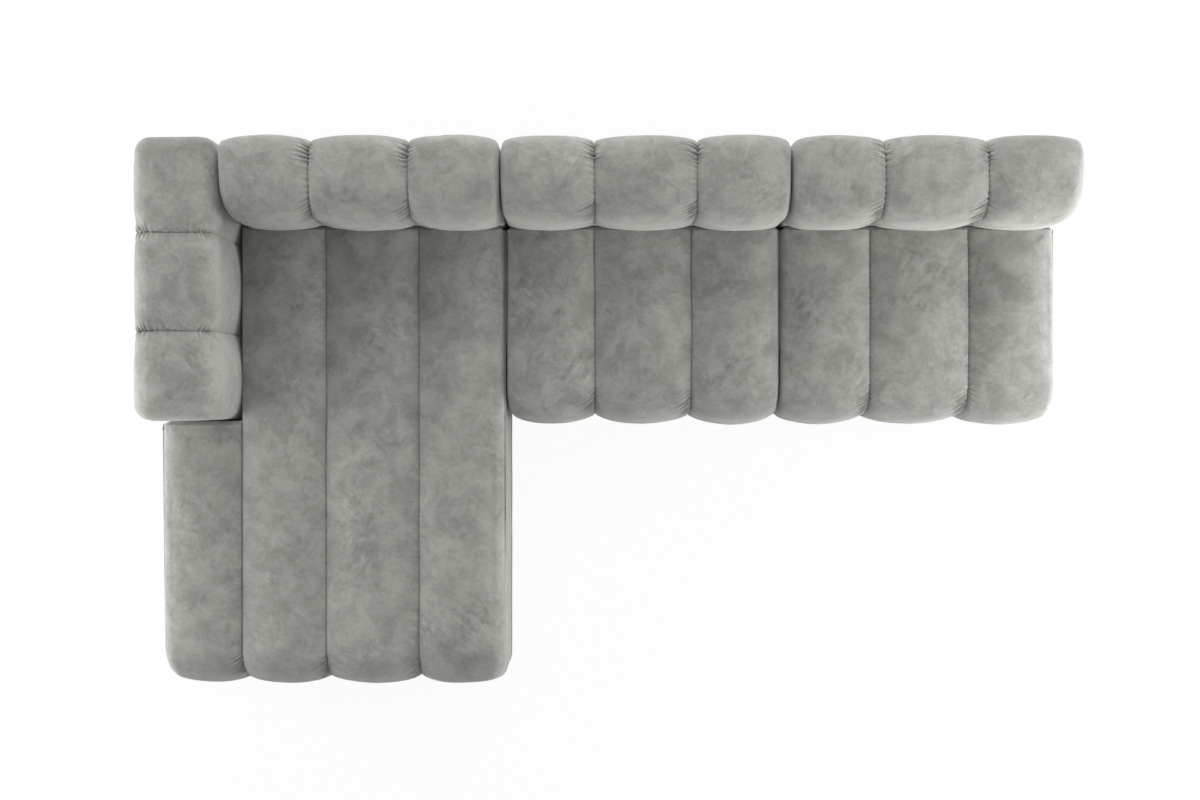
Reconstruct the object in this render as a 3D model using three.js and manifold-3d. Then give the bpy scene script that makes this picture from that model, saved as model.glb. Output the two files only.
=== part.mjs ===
// A sectional sofa in three units that hook together: a chaise with an arm, and two armless units.
// Every visible pad is upholstered in channels: the seats run from the back over the front edge,
// the back and the arm run over their tops and down their outsides.
// Millimetres, +Z up, the sofa faces -Y. The origin is on the floor at the middle of the plan.
import * as THREE from "three";
import { mergeVertices } from "three/addons/utils/BufferGeometryUtils.js";
import Module from "manifold-3d";

const wasm = await Module();
wasm.setup();

// Plan sizes
const CHAISE_DEPTH = 1810;
const UNIT_DEPTH = 912;
const UNIT_WIDTH = 911;
const CHAISE_SEAT_WIDTH = 879;
const ARM_WIDTH = 271;
const ARM_LENGTH = 893;
const ARM_REAR_INSET = 12;
const ARM_OVERHANG = 8;
const UNIT_GAP = 10;
const CREASE_GAP = 6;

// Heights
const OVERALL_HEIGHT = 750;
const ARM_DROP = 8;
const SEAT_HEIGHT = 430;
const FOOT_HEIGHT = 40;
const BASE_HEIGHT = 158;
const TUCK_HEIGHT = 330;

// Channels: widths as shares of the pad, and how far each one swells above its seams
const UNIT_CHANNEL_SHARES = [0.322, 0.356, 0.322];
const CHAISE_CHANNEL_SHARES = [0.314, 0.357, 0.329];
const ARM_CHANNEL_SHARES = [0.32, 0.347, 0.333];
const SEAT_BULGE = 24;
const BACK_BULGE = 22;
const LOBE_POWER = 2.2;
const LOBE_SHARES = [0, 0.05, 0.2, 0.5, 0.8, 0.95];
const END_SHARES = [0.3, 1];
const EDGE_INSET = 12;

// How much of the swell each stretch of a pad takes
const SEAT_FRONT_SHARE = 1.25;
const SEAT_REAR_SHARE = 0.8;
const HEM_SHARE = 0.4;
const BACK_FACE_SHARE = 1.5;
const BACK_REAR_SHARE = 1.1;
const ARM_FACE_SHARE = 0.9;
const ARM_OUTER_SHARE = 0.65;
const RISING_SHARE = 0.6;

// Pads seen from their ends
const BACK_THICKNESS = 281;
const SEAT_FRONT_RADIUS = 110;
const BACK_FRONT_RADIUS = 100;
const BACK_REAR_RADIUS = 45;
const ARM_RADIUS = 52;
const HEM_RISE = 55;
const TUCK_RISE = 25;
const ARC_STEPS = 4;

// Covers and foam
const COVER_WALL = 12;
const END_WALL = 16;
const CLEARANCE = 0.3;
const OVERRUN = 40;
const BACK_FOAM_HEM = 345;

// Timber
const RAIL_THICKNESS = 24;
const CENTRE_RAIL_HEIGHT = 95;
const CORNER_BLOCK_SIZE = 80;
const CORNER_BLOCK_HEIGHT = 50;
const UPRIGHT_THICKNESS = 30;
const UPRIGHT_WIDTH = 50;
const PANEL_RAIL_HEIGHT = 60;
const FOAM_OVER_FRAME = 55;

// Webbing
const STRAP_WIDTH = 80;
const STRAP_THICKNESS = 3;
const STRAP_LANDING = 20;
const STRAP_PITCH = 200;

// Feet and the cloth under the units
const DUST_COVER_THICKNESS = 2;
const FOOT_TOP_RADIUS = 30;
const FOOT_BOTTOM_RADIUS = 25;
const FOOT_SIDES = 24;
const STUD_RADIUS = 4;
const STUD_LENGTH = 34;
const HOLE_GAP = 0.5;
const ROD_SIDES = 12;

// Bolts that hold the back and arm frames to the base
const BOLT_RADIUS = 4;
const BOLT_HEAD_RADIUS = 7.5;
const BOLT_HEAD_HEIGHT = 5.5;
const BOLT_SHOW = 3;
const BOLT_HEIGHT = 150;
const HEX_SIDES = 6;

// Hook plates between units
const PLATE_THICKNESS = 2.5;
const HOOK_STANDOFF = 4;
const TONGUE_BOTTOM = 75;
const TONGUE_STEP = 125;
const TONGUE_STEP_RUN = 6;
const TONGUE_TOP = 175;
const TONGUE_FOOT_WIDTH = 76;
const TONGUE_WIDTH = 58;
const TONGUE_TIP_WIDTH = 42;
const SOCKET_PLAY = 0.7;
const SOCKET_WALL = 3;
const SOCKET_LIP = 9;
const SOCKET_LIP_THICKNESS = 2;
const SOCKET_TAIL = 24;
const PLATE_STUD_RADIUS = 3;
const PLATE_STUD_LENGTH = 34;
const PLATE_STUD_SPACING = 44;
const TONGUE_STUD_HEIGHT = 100;
const SOCKET_STUD_HEIGHT = 187;
const HOOK_INSET_SHARES = [0.2, 0.62];

// Places that follow from the sizes above
const REAR = CHAISE_DEPTH / 2;
const CHAISE_FRONT = REAR - CHAISE_DEPTH;
const UNIT_FRONT = REAR - UNIT_DEPTH;
const OVERALL_WIDTH =
  ARM_WIDTH + CREASE_GAP + CHAISE_SEAT_WIDTH + 2 * (UNIT_GAP + UNIT_WIDTH);
const CHAISE_LEFT = -OVERALL_WIDTH / 2;
const CHAISE_SEAT_LEFT = CHAISE_LEFT + ARM_WIDTH + CREASE_GAP;
const CHAISE_RIGHT = CHAISE_SEAT_LEFT + CHAISE_SEAT_WIDTH;
const ARM_REAR = REAR - ARM_REAR_INSET;
const ARM_FRONT = ARM_REAR - ARM_LENGTH;
const HEM = FOOT_HEIGHT + CLEARANCE;
const BASE_BOTTOM = HEM + DUST_COVER_THICKNESS + CLEARANCE;
const BASE_TOP = BASE_BOTTOM + BASE_HEIGHT;
const SEAT_SEAM_TOP = SEAT_HEIGHT - SEAT_BULGE;
const BACK_SEAM_TOP = OVERALL_HEIGHT - BACK_BULGE;
const BACK_REAR_SEAM = REAR - BACK_BULGE * BACK_REAR_SHARE;
const BACK_FACE_SEAM = REAR - BACK_THICKNESS + BACK_BULGE * BACK_FACE_SHARE;
const SEAT_REAR = BACK_FACE_SEAM - CREASE_GAP;
const SEAT_FRONT_SWELL = SEAT_BULGE * SEAT_FRONT_SHARE;
const BACK_TUCK = SEAT_HEIGHT + CREASE_GAP / 2;
const ARM_OUTER_SEAM = CHAISE_LEFT + BACK_BULGE * ARM_OUTER_SHARE;
const ARM_FACE_SEAM = CHAISE_LEFT + ARM_WIDTH - BACK_BULGE * ARM_FACE_SHARE;
const BASE_REAR = BACK_REAR_SEAM - COVER_WALL - CLEARANCE;

const velvet = finish("silver grey velvet", 0x94938d, 0.85, 0);
const foam = finish("cream foam", 0xe6dcc0, 0.9, 0);
const timber = finish("pine and plywood", 0xc49a6a, 0.65, 0);
const strap = finish("black webbing", 0x2b2b2d, 0.8, 0);
const cambric = finish("black dust cloth", 0x1d1d1f, 0.95, 0);
const plastic = finish("black plastic", 0x18181a, 0.5, 0);
const steel = finish("zinc plated steel", 0xb9bcc0, 0.35, 0.9);

function finish(name, color, roughness, metalness) {
  return new THREE.MeshStandardMaterial({ name, color, roughness, metalness });
}

// Solids and how they are cut

function solidOf(geometry) {
  const bare = geometry.index ? geometry.toNonIndexed() : geometry.clone();
  bare.deleteAttribute("normal");
  bare.deleteAttribute("uv");
  const merged = mergeVertices(bare, CLEARANCE / 100);
  return new wasm.Manifold(
    new wasm.Mesh({
      numProp: 3,
      vertProperties: merged.attributes.position.array,
      triVerts: new Uint32Array(merged.index.array),
    }),
  );
}

function join(pieces) {
  return pieces.reduce((whole, piece) => whole.add(piece));
}

function cut(whole, cutters) {
  return cutters.reduce((left, cutter) => left.subtract(cutter), whole);
}

function meshOf(name, whole, material) {
  const shape = whole.getMesh();
  const geometry = new THREE.BufferGeometry();
  geometry.setAttribute("position", new THREE.BufferAttribute(shape.vertProperties, 3));
  geometry.setIndex(new THREE.BufferAttribute(shape.triVerts, 1));
  geometry.computeVertexNormals();
  const mesh = new THREE.Mesh(geometry, material);
  mesh.name = name;
  return mesh;
}

// A point from its place along a pad, across it and above the floor.
// The back and the seats lie along x, the arm lies along y.
function place(along, a, b, z) {
  return along === "x" ? [a, b, z] : [b, a, z];
}

function slab(along, [a0, a1], [b0, b1], [z0, z1]) {
  const size = place(along, a1 - a0, b1 - b0, z1 - z0);
  const centre = place(along, (a0 + a1) / 2, (b0 + b1) / 2, (z0 + z1) / 2);
  return solidOf(new THREE.BoxGeometry(...size).translate(...centre));
}

function block(x, y, z) {
  return slab("x", x, y, z);
}

// A round or six-sided bar that runs along one axis from one place to the other.
function bar(axis, radius, [from, to], [u, v], sides = ROD_SIDES) {
  const shape = new THREE.CylinderGeometry(radius, radius, to - from, sides);
  const middle = (from + to) / 2;
  if (axis === "x") return solidOf(shape.rotateZ(-Math.PI / 2).translate(middle, u, v));
  if (axis === "y") return solidOf(shape.translate(u, middle, v));
  return solidOf(shape.rotateX(Math.PI / 2).translate(u, v, middle));
}

// Joins closed rings of [across, height] points, one at each place along the pad, and caps both ends.
function loft(along, rings) {
  const clockwise = THREE.ShapeUtils.isClockWise(outlineOf(rings[0].ring));
  const sections = clockwise ? rings.map(({ at, ring }) => ({ at, ring: ring.toReversed() })) : rings;
  const count = sections[0].ring.length;
  const last = (sections.length - 1) * count;
  const points = sections.flatMap(({ at, ring }) => ring.flatMap(([b, z]) => place(along, at, b, z)));
  const faces = [];
  for (let i = 0; i + 1 < sections.length; i++) {
    for (let j = 0; j < count; j++) {
      const a = i * count + j;
      const b = i * count + ((j + 1) % count);
      faces.push(a, b, a + count, b, b + count, a + count);
    }
  }
  const capOf = ({ ring }) => THREE.ShapeUtils.triangulateShape(outlineOf(ring), []);
  for (const [a, b, c] of capOf(sections[0])) faces.push(a, c, b);
  for (const [a, b, c] of capOf(sections.at(-1))) faces.push(last + a, last + b, last + c);
  if (along === "y") faces.reverse();
  const geometry = new THREE.BufferGeometry();
  geometry.setAttribute("position", new THREE.Float32BufferAttribute(points, 3));
  geometry.setIndex(faces);
  return solidOf(geometry);
}

function outlineOf(ring) {
  return ring.map(([b, z]) => new THREE.Vector2(b, z));
}

function prism(along, ring, [from, to]) {
  return loft(along, [{ at: from, ring }, { at: to, ring }]);
}

// The upholstered pads

// The outline of a pad seen from its end: up its low side, over the top and down its high side.
// Each point has its outward direction and the share of the swell that it takes.
function padPath({ low, high, top, lowRadius, highRadius, lowStops, highStops, lowShare, highShare }) {
  const path = lowStops.map(([z, share]) => ({ at: [low, z], out: [-1, 0], share }));
  path.push(...corner(low + lowRadius, top, lowRadius, -1, lowShare));
  path.push(...corner(high - highRadius, top, highRadius, 1, highShare).reverse());
  const down = highStops.map(([z, share]) => ({ at: [high, z], out: [1, 0], share }));
  return path.concat(down.reverse());
}

// The rounded top edge on one side, from the side up to the top.
function corner(centre, top, radius, side, share) {
  if (radius <= 0) return [{ at: [centre, top], out: [0, 1], share }];
  return Array.from({ length: ARC_STEPS + 1 }, (_, step) => {
    const turn = ((Math.PI / 2) * step) / ARC_STEPS;
    const out = [side * Math.cos(turn), Math.sin(turn)];
    const at = [centre + radius * out[0], top - radius + radius * out[1]];
    return { at, out, share: share + (1 - share) * (step / ARC_STEPS) };
  });
}

function ringOf(path, swell) {
  return path.map(({ at, out, share }) => [
    at[0] + out[0] * share * swell,
    at[1] + out[1] * share * swell,
  ]);
}

// The rise of a channel above its seams, from 0 at a seam to 1 in the middle.
function lobe(share) {
  return (1 - Math.abs(2 * share - 1) ** LOBE_POWER) ** (1 / LOBE_POWER);
}

function edgesOf(start, width, shares) {
  const edges = [start];
  for (const share of shares) edges.push(edges.at(-1) + width * share);
  return edges;
}

// Sections along a pad: swollen between the seams, and drawn in where it ends.
function stations(edges, bulge, startInset, endInset) {
  const start = edges[0];
  const end = edges.at(-1);
  const places = edges.slice(0, -1).flatMap((edge, i) =>
    LOBE_SHARES.map((share) => edge + share * (edges[i + 1] - edge)),
  );
  if (startInset > 0) places.push(...END_SHARES.map((share) => start + share * startInset));
  if (endInset > 0) places.push(...END_SHARES.map((share) => end - share * endInset));
  places.push(end);
  places.sort((a, b) => a - b);
  const apart = places.filter((at, i) => i === 0 || at - places[i - 1] > CLEARANCE);
  return apart.map((at) => {
    const i = Math.max(0, edges.findLastIndex((edge, k) => edge <= at && k < edges.length - 1));
    const rise = bulge * lobe(Math.min(1, (at - edges[i]) / (edges[i + 1] - edges[i])));
    const drop = endDrop(at - start, startInset) + endDrop(end - at, endInset);
    return { at, swell: rise - drop };
  });
}

function endDrop(distance, inset) {
  if (distance >= inset) return 0;
  return inset * (1 - Math.sqrt(1 - (1 - distance / inset) ** 2));
}

function channelledPad(along, path, places) {
  return loft(along, places.map(({ at, swell }) => ({ at, ring: ringOf(path, swell) })));
}

// Outlines of the seat, the back and the arm, each drawn in by a wall where it is the space inside

function seatOutline(front, rear, bottom, inset) {
  return padPath({
    low: front + SEAT_FRONT_SWELL + inset,
    high: rear,
    top: SEAT_SEAM_TOP - inset,
    lowRadius: SEAT_FRONT_RADIUS - inset,
    highRadius: 0,
    lowStops: [[bottom, HEM_SHARE], [bottom + HEM_RISE, SEAT_FRONT_SHARE]],
    highStops: [[bottom, 0]],
    lowShare: SEAT_FRONT_SHARE,
    highShare: SEAT_REAR_SHARE,
  });
}

function backOutline(bottom, inset) {
  return padPath({
    low: BACK_FACE_SEAM + inset,
    high: BACK_REAR_SEAM - inset,
    top: BACK_SEAM_TOP - inset,
    lowRadius: BACK_FRONT_RADIUS - inset,
    highRadius: BACK_REAR_RADIUS - inset,
    lowStops: seatSideStops(bottom, BACK_FACE_SHARE),
    highStops: [[bottom, HEM_SHARE], [bottom + HEM_RISE, BACK_REAR_SHARE]],
    lowShare: BACK_FACE_SHARE,
    highShare: BACK_REAR_SHARE,
  });
}

function armOutline(bottom, inset) {
  return padPath({
    low: ARM_OUTER_SEAM + inset,
    high: ARM_FACE_SEAM - inset,
    top: BACK_SEAM_TOP - ARM_DROP - inset,
    lowRadius: ARM_RADIUS - inset,
    highRadius: ARM_RADIUS - inset,
    lowStops: [[bottom, HEM_SHARE], [bottom + HEM_RISE, ARM_OUTER_SHARE]],
    highStops: seatSideStops(bottom, ARM_FACE_SHARE),
    lowShare: ARM_OUTER_SHARE,
    highShare: ARM_FACE_SHARE,
  });
}

// Below the seat's top the face of a back or an arm is flat, and it swells above it.
function seatSideStops(bottom, share) {
  return [
    [bottom, 0],
    [BACK_TUCK, 0],
    [BACK_TUCK + TUCK_RISE, share * RISING_SHARE],
    [BACK_TUCK + 2 * TUCK_RISE, share],
  ];
}

// Pieces that every unit has

function seatFoam([left, right], front, rear) {
  const path = seatOutline(front, rear, BASE_TOP + STRAP_THICKNESS + 2 * CLEARANCE, COVER_WALL + CLEARANCE);
  return prism("x", ringOf(path, 0), [left + END_WALL + CLEARANCE, right - END_WALL - CLEARANCE]);
}

function seatSpace([left, right], front, rear) {
  const path = seatOutline(front, rear, HEM - OVERRUN, COVER_WALL);
  return prism("x", ringOf(path, 0), [left + END_WALL, right - END_WALL]);
}

// The back's cover is open below the tuck where the base runs through to the seat.
function backCover([left, right], channelShares, throughLeft) {
  const edges = edgesOf(left, right - left, channelShares);
  const pad = channelledPad("x", backOutline(HEM, 0), stations(edges, BACK_BULGE, EDGE_INSET, EDGE_INSET));
  const space = prism("x", ringOf(backOutline(HEM - OVERRUN, COVER_WALL), 0), [
    left + END_WALL,
    right - END_WALL,
  ]);
  const passageLeft = throughLeft ? left - OVERRUN : left + END_WALL;
  const passage = block(
    [passageLeft, right - END_WALL],
    [BACK_FACE_SEAM - OVERRUN, BACK_REAR_SEAM - COVER_WALL],
    [HEM - OVERRUN, TUCK_HEIGHT],
  );
  return cut(pad, [space, passage]);
}

// A foam cap that fits over an upright frame.
function foamCap(along, outlineAt, [from, to], frame) {
  const outline = ringOf(outlineAt(BACK_FOAM_HEM, COVER_WALL + CLEARANCE), 0);
  const cap = prism(along, outline, [from + END_WALL + CLEARANCE, to - END_WALL - CLEARANCE]);
  const slot = slab(
    along,
    [from, to],
    [frame.near - CLEARANCE, frame.far + CLEARANCE],
    [BACK_FOAM_HEM - OVERRUN, frame.top + CLEARANCE],
  );
  return cut(cap, [slot]);
}

// Uprights with a top rail and a lower rail, drilled for the bolts that hold it to the base.
function uprightFrame(along, frame) {
  const { from, to, near, far, top, bolts } = frame;
  const onBlock = BASE_BOTTOM + CORNER_BLOCK_HEIGHT + CLEARANCE;
  const onCentreRail = BASE_BOTTOM + CENTRE_RAIL_HEIGHT + CLEARANCE;
  const starts = [from, (from + to - UPRIGHT_WIDTH) / 2, to - UPRIGHT_WIDTH];
  const uprights = starts.map((start, i) =>
    slab(along, [start, start + UPRIGHT_WIDTH], [near, far], [i === 1 ? onCentreRail : onBlock, top]),
  );
  const topRail = slab(along, [from, to], [near, far], [top - PANEL_RAIL_HEIGHT, top]);
  const lowTop = BACK_FOAM_HEM + PANEL_RAIL_HEIGHT;
  const lowRail = slab(along, [from, to], [near, far], [BACK_FOAM_HEM, lowTop]);
  const holes = bolts.map((at) =>
    boltHole(along, at, [near - OVERRUN, far + OVERRUN], BOLT_RADIUS + HOLE_GAP),
  );
  return cut(join([...uprights, topRail, lowRail]), holes);
}

function boltHole(along, at, span, radius, sides = ROD_SIDES) {
  const axis = along === "x" ? "y" : "x";
  return bar(axis, radius, span, [at, BOLT_HEIGHT], sides);
}

// The head sits in a counterbore in the rail's outer face, and the shank runs in through the frame.
function bolt(along, at, outer, side, reach) {
  const seat = outer - side * (BOLT_HEAD_HEIGHT + CLEARANCE);
  const head = boltHole(along, at, ordered(seat, outer - side * CLEARANCE), BOLT_HEAD_RADIUS, HEX_SIDES);
  const shankSpan = ordered(seat + (side * BOLT_HEAD_HEIGHT) / 2, seat - side * reach);
  const shank = boltHole(along, at, shankSpan, BOLT_RADIUS);
  return head.add(shank);
}

function counterbore(along, at, outer, side) {
  const deep = outer - side * (BOLT_HEAD_HEIGHT + 2 * CLEARANCE);
  const wide = boltHole(along, at, ordered(deep, outer + side * OVERRUN), BOLT_HEAD_RADIUS + HOLE_GAP);
  const through = boltHole(
    along,
    at,
    ordered(outer + side * OVERRUN, outer - side * (RAIL_THICKNESS + OVERRUN / 2)),
    BOLT_RADIUS + HOLE_GAP,
  );
  return wide.add(through);
}

function ordered(a, b) {
  return [Math.min(a, b), Math.max(a, b)];
}

// The rails of a base, glued into one frame, with a block for each foot.
function baseFrame({ left, right, front, rear }, extraRails, feet, holes) {
  const z = [BASE_BOTTOM, BASE_TOP];
  const rails = [
    block([left, right], [front, front + RAIL_THICKNESS], z),
    block([left, right], [rear - RAIL_THICKNESS, rear], z),
    block([left, left + RAIL_THICKNESS], [front, rear], z),
    block([right - RAIL_THICKNESS, right], [front, rear], z),
    ...extraRails,
  ];
  const half = CORNER_BLOCK_SIZE / 2;
  const blocks = feet.map(([x, y]) =>
    block([x - half, x + half], [y - half, y + half], [BASE_BOTTOM, BASE_BOTTOM + CORNER_BLOCK_HEIGHT]),
  );
  return cut(join([...rails, ...blocks]), [...feet.map(studHole), ...holes]);
}

function centreRail(middle, front, rear) {
  const half = RAIL_THICKNESS / 2;
  const z = [BASE_BOTTOM, BASE_BOTTOM + CENTRE_RAIL_HEIGHT];
  return block([middle - half, middle + half], [front, rear], z);
}

function seatBackRail(left, right) {
  const half = RAIL_THICKNESS / 2;
  return block([left, right], [SEAT_REAR - half, SEAT_REAR + half], [BASE_BOTTOM, BASE_TOP]);
}

function studHole([x, y]) {
  return bar("z", STUD_RADIUS + HOLE_GAP, [HEM - OVERRUN, FOOT_HEIGHT + STUD_LENGTH + CLEARANCE], [x, y]);
}

function foot([x, y]) {
  const body = new THREE.CylinderGeometry(FOOT_TOP_RADIUS, FOOT_BOTTOM_RADIUS, FOOT_HEIGHT, FOOT_SIDES);
  const upright = body.rotateX(Math.PI / 2).translate(x, y, FOOT_HEIGHT / 2);
  const stud = bar("z", STUD_RADIUS, [FOOT_HEIGHT / 2, FOOT_HEIGHT + STUD_LENGTH], [x, y]);
  return solidOf(upright).add(stud);
}

function dustCover({ left, right, front, rear }, feet) {
  const sheet = block([left, right], [front, rear], [HEM, HEM + DUST_COVER_THICKNESS]);
  return cut(sheet, feet.map(studHole));
}

// Straps that cross between two rails, spread evenly and woven into one net.
function straps(along, [a0, a1], [b0, b1]) {
  const count = Math.max(2, Math.round((b1 - b0) / STRAP_PITCH));
  const z = [BASE_TOP + CLEARANCE, BASE_TOP + CLEARANCE + STRAP_THICKNESS];
  return Array.from({ length: count }, (_, i) => {
    const middle = b0 + ((i + 0.5) * (b1 - b0)) / count;
    return slab(along, [a0, a1], [middle - STRAP_WIDTH / 2, middle + STRAP_WIDTH / 2], z);
  });
}

// Hook plates: a tapered tongue that stands up on one unit, and a socket that drops over it

function taper(bottom, top, bottomWidth, topWidth, middle) {
  return [
    [middle - bottomWidth / 2, bottom],
    [middle + bottomWidth / 2, bottom],
    [middle + topWidth / 2, top],
    [middle - topWidth / 2, top],
  ];
}

function tongue(wall, middle) {
  const near = wall + CLEARANCE;
  const out = wall + HOOK_STANDOFF;
  const foldTop = TONGUE_STEP + TONGUE_STEP_RUN;
  const side = [
    [near, TONGUE_BOTTOM],
    [near + PLATE_THICKNESS, TONGUE_BOTTOM],
    [near + PLATE_THICKNESS, TONGUE_STEP],
    [out + PLATE_THICKNESS, foldTop],
    [out + PLATE_THICKNESS, TONGUE_TOP],
    [out, TONGUE_TOP],
    [out, foldTop],
    [near, TONGUE_STEP],
  ];
  const reach = TONGUE_FOOT_WIDTH / 2;
  const bent = prism("y", side, [middle - reach, middle + reach]);
  const footPlate = taper(TONGUE_BOTTOM, foldTop, TONGUE_FOOT_WIDTH, TONGUE_FOOT_WIDTH, middle);
  const blade = taper(foldTop, TONGUE_TOP, TONGUE_WIDTH, TONGUE_TIP_WIDTH, middle);
  const span = [wall, wall + UNIT_GAP];
  const outline = prism("x", footPlate, span).add(prism("x", blade, span));
  return join([bent.intersect(outline), ...plateStuds(near, -1, middle, TONGUE_STUD_HEIGHT)]);
}

function socket(wall, middle) {
  const tongueBack = wall - UNIT_GAP + HOOK_STANDOFF;
  const tongueFace = tongueBack + PLATE_THICKNESS;
  const bottom = TONGUE_STEP + TONGUE_STEP_RUN + SOCKET_PLAY;
  const lipBack = tongueBack - SOCKET_PLAY - SOCKET_LIP_THICKNESS;
  const around = 2 * (SOCKET_PLAY + SOCKET_WALL);
  const body = taper(bottom, TONGUE_TOP, TONGUE_WIDTH + around, TONGUE_TIP_WIDTH + around, middle);
  const past = [bottom - OVERRUN / 2, TONGUE_TOP + OVERRUN / 2];
  const room = taper(...past, ...tongueWidths(past, SOCKET_PLAY), middle);
  const mouth = taper(...past, ...tongueWidths(past, -SOCKET_LIP), middle);
  const faceRoom = tongueFace + SOCKET_PLAY;
  const plate = taper(bottom, TONGUE_TOP + SOCKET_TAIL, TONGUE_WIDTH + around, TONGUE_WIDTH + around, middle);
  const shell = join([
    prism("x", body, [lipBack, wall - CLEARANCE]),
    prism("x", plate, [faceRoom, wall - CLEARANCE]),
  ]);
  const hollow = [
    prism("x", room, [tongueBack - SOCKET_PLAY, faceRoom]),
    prism("x", mouth, [lipBack - SOCKET_PLAY, tongueBack]),
  ];
  return join([cut(shell, hollow), ...plateStuds(wall - CLEARANCE, 1, middle, SOCKET_STUD_HEIGHT)]);
}

// The widths of the tongue's outline at the given heights, grown by a margin.
function tongueWidths(heights, margin) {
  const foldTop = TONGUE_STEP + TONGUE_STEP_RUN;
  const slope = (TONGUE_TIP_WIDTH - TONGUE_WIDTH) / (TONGUE_TOP - foldTop);
  return heights.map((z) => TONGUE_WIDTH + slope * (z - foldTop) + 2 * margin);
}

function plateStuds(face, side, middle, height) {
  const span = ordered(face - (side * PLATE_THICKNESS) / 2, face + side * PLATE_STUD_LENGTH);
  return [-1, 1].map((way) =>
    bar("x", PLATE_STUD_RADIUS, span, [middle + (way * PLATE_STUD_SPACING) / 2, height]),
  );
}

function plateStudHoles(wall, side, middle, height) {
  const span = ordered(wall - side * OVERRUN, wall + side * (PLATE_STUD_LENGTH + OVERRUN));
  return [-1, 1].map((way) =>
    bar("x", PLATE_STUD_RADIUS + HOLE_GAP, span, [middle + (way * PLATE_STUD_SPACING) / 2, height]),
  );
}

const HOOK_PLACES = HOOK_INSET_SHARES.map((share) => UNIT_FRONT + share * UNIT_DEPTH);

function tongueHoles(wall) {
  return HOOK_PLACES.flatMap((y) => plateStudHoles(wall, -1, y, TONGUE_STUD_HEIGHT));
}

function socketHoles(wall) {
  return HOOK_PLACES.flatMap((y) => plateStudHoles(wall, 1, y, SOCKET_STUD_HEIGHT));
}

// Frame sizes that follow the covers

function backFrame(left, right) {
  const far = BASE_REAR - RAIL_THICKNESS - CLEARANCE;
  const from = left + END_WALL + RAIL_THICKNESS + 2 * CLEARANCE;
  const to = right - END_WALL - RAIL_THICKNESS - 2 * CLEARANCE;
  const bolts = [from + UPRIGHT_WIDTH / 2, to - UPRIGHT_WIDTH / 2];
  return { from, to, near: far - UPRIGHT_THICKNESS, far, top: BACK_SEAM_TOP - FOAM_OVER_FRAME, bolts };
}

function armFrame(baseLeft) {
  const near = baseLeft + RAIL_THICKNESS + CLEARANCE;
  const from = ARM_FRONT + END_WALL + RAIL_THICKNESS;
  const to = ARM_REAR - END_WALL - 2 * RAIL_THICKNESS;
  const bolts = [from + UPRIGHT_WIDTH / 2, to - UPRIGHT_WIDTH / 2];
  const top = BACK_SEAM_TOP - ARM_DROP - FOAM_OVER_FRAME;
  return { from, to, near, far: near + UPRIGHT_THICKNESS, top, bolts };
}

function boltMeshes(name, along, frame, outer, side) {
  const reach = RAIL_THICKNESS + UPRIGHT_THICKNESS - BOLT_HEAD_HEIGHT + BOLT_SHOW;
  return frame.bolts.map((at, i) => {
    return meshOf(`${name}_${i + 1}`, bolt(along, at, outer, side, reach), steel);
  });
}

function footPlaces({ left, right, front, rear }, rows) {
  const inset = RAIL_THICKNESS + CORNER_BLOCK_SIZE / 2;
  const across = [left + inset, right - inset];
  return [front + inset, ...rows, rear - inset].flatMap((y) => across.map((x) => [x, y]));
}

// An armless unit, built with its left side at x = 0

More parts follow.
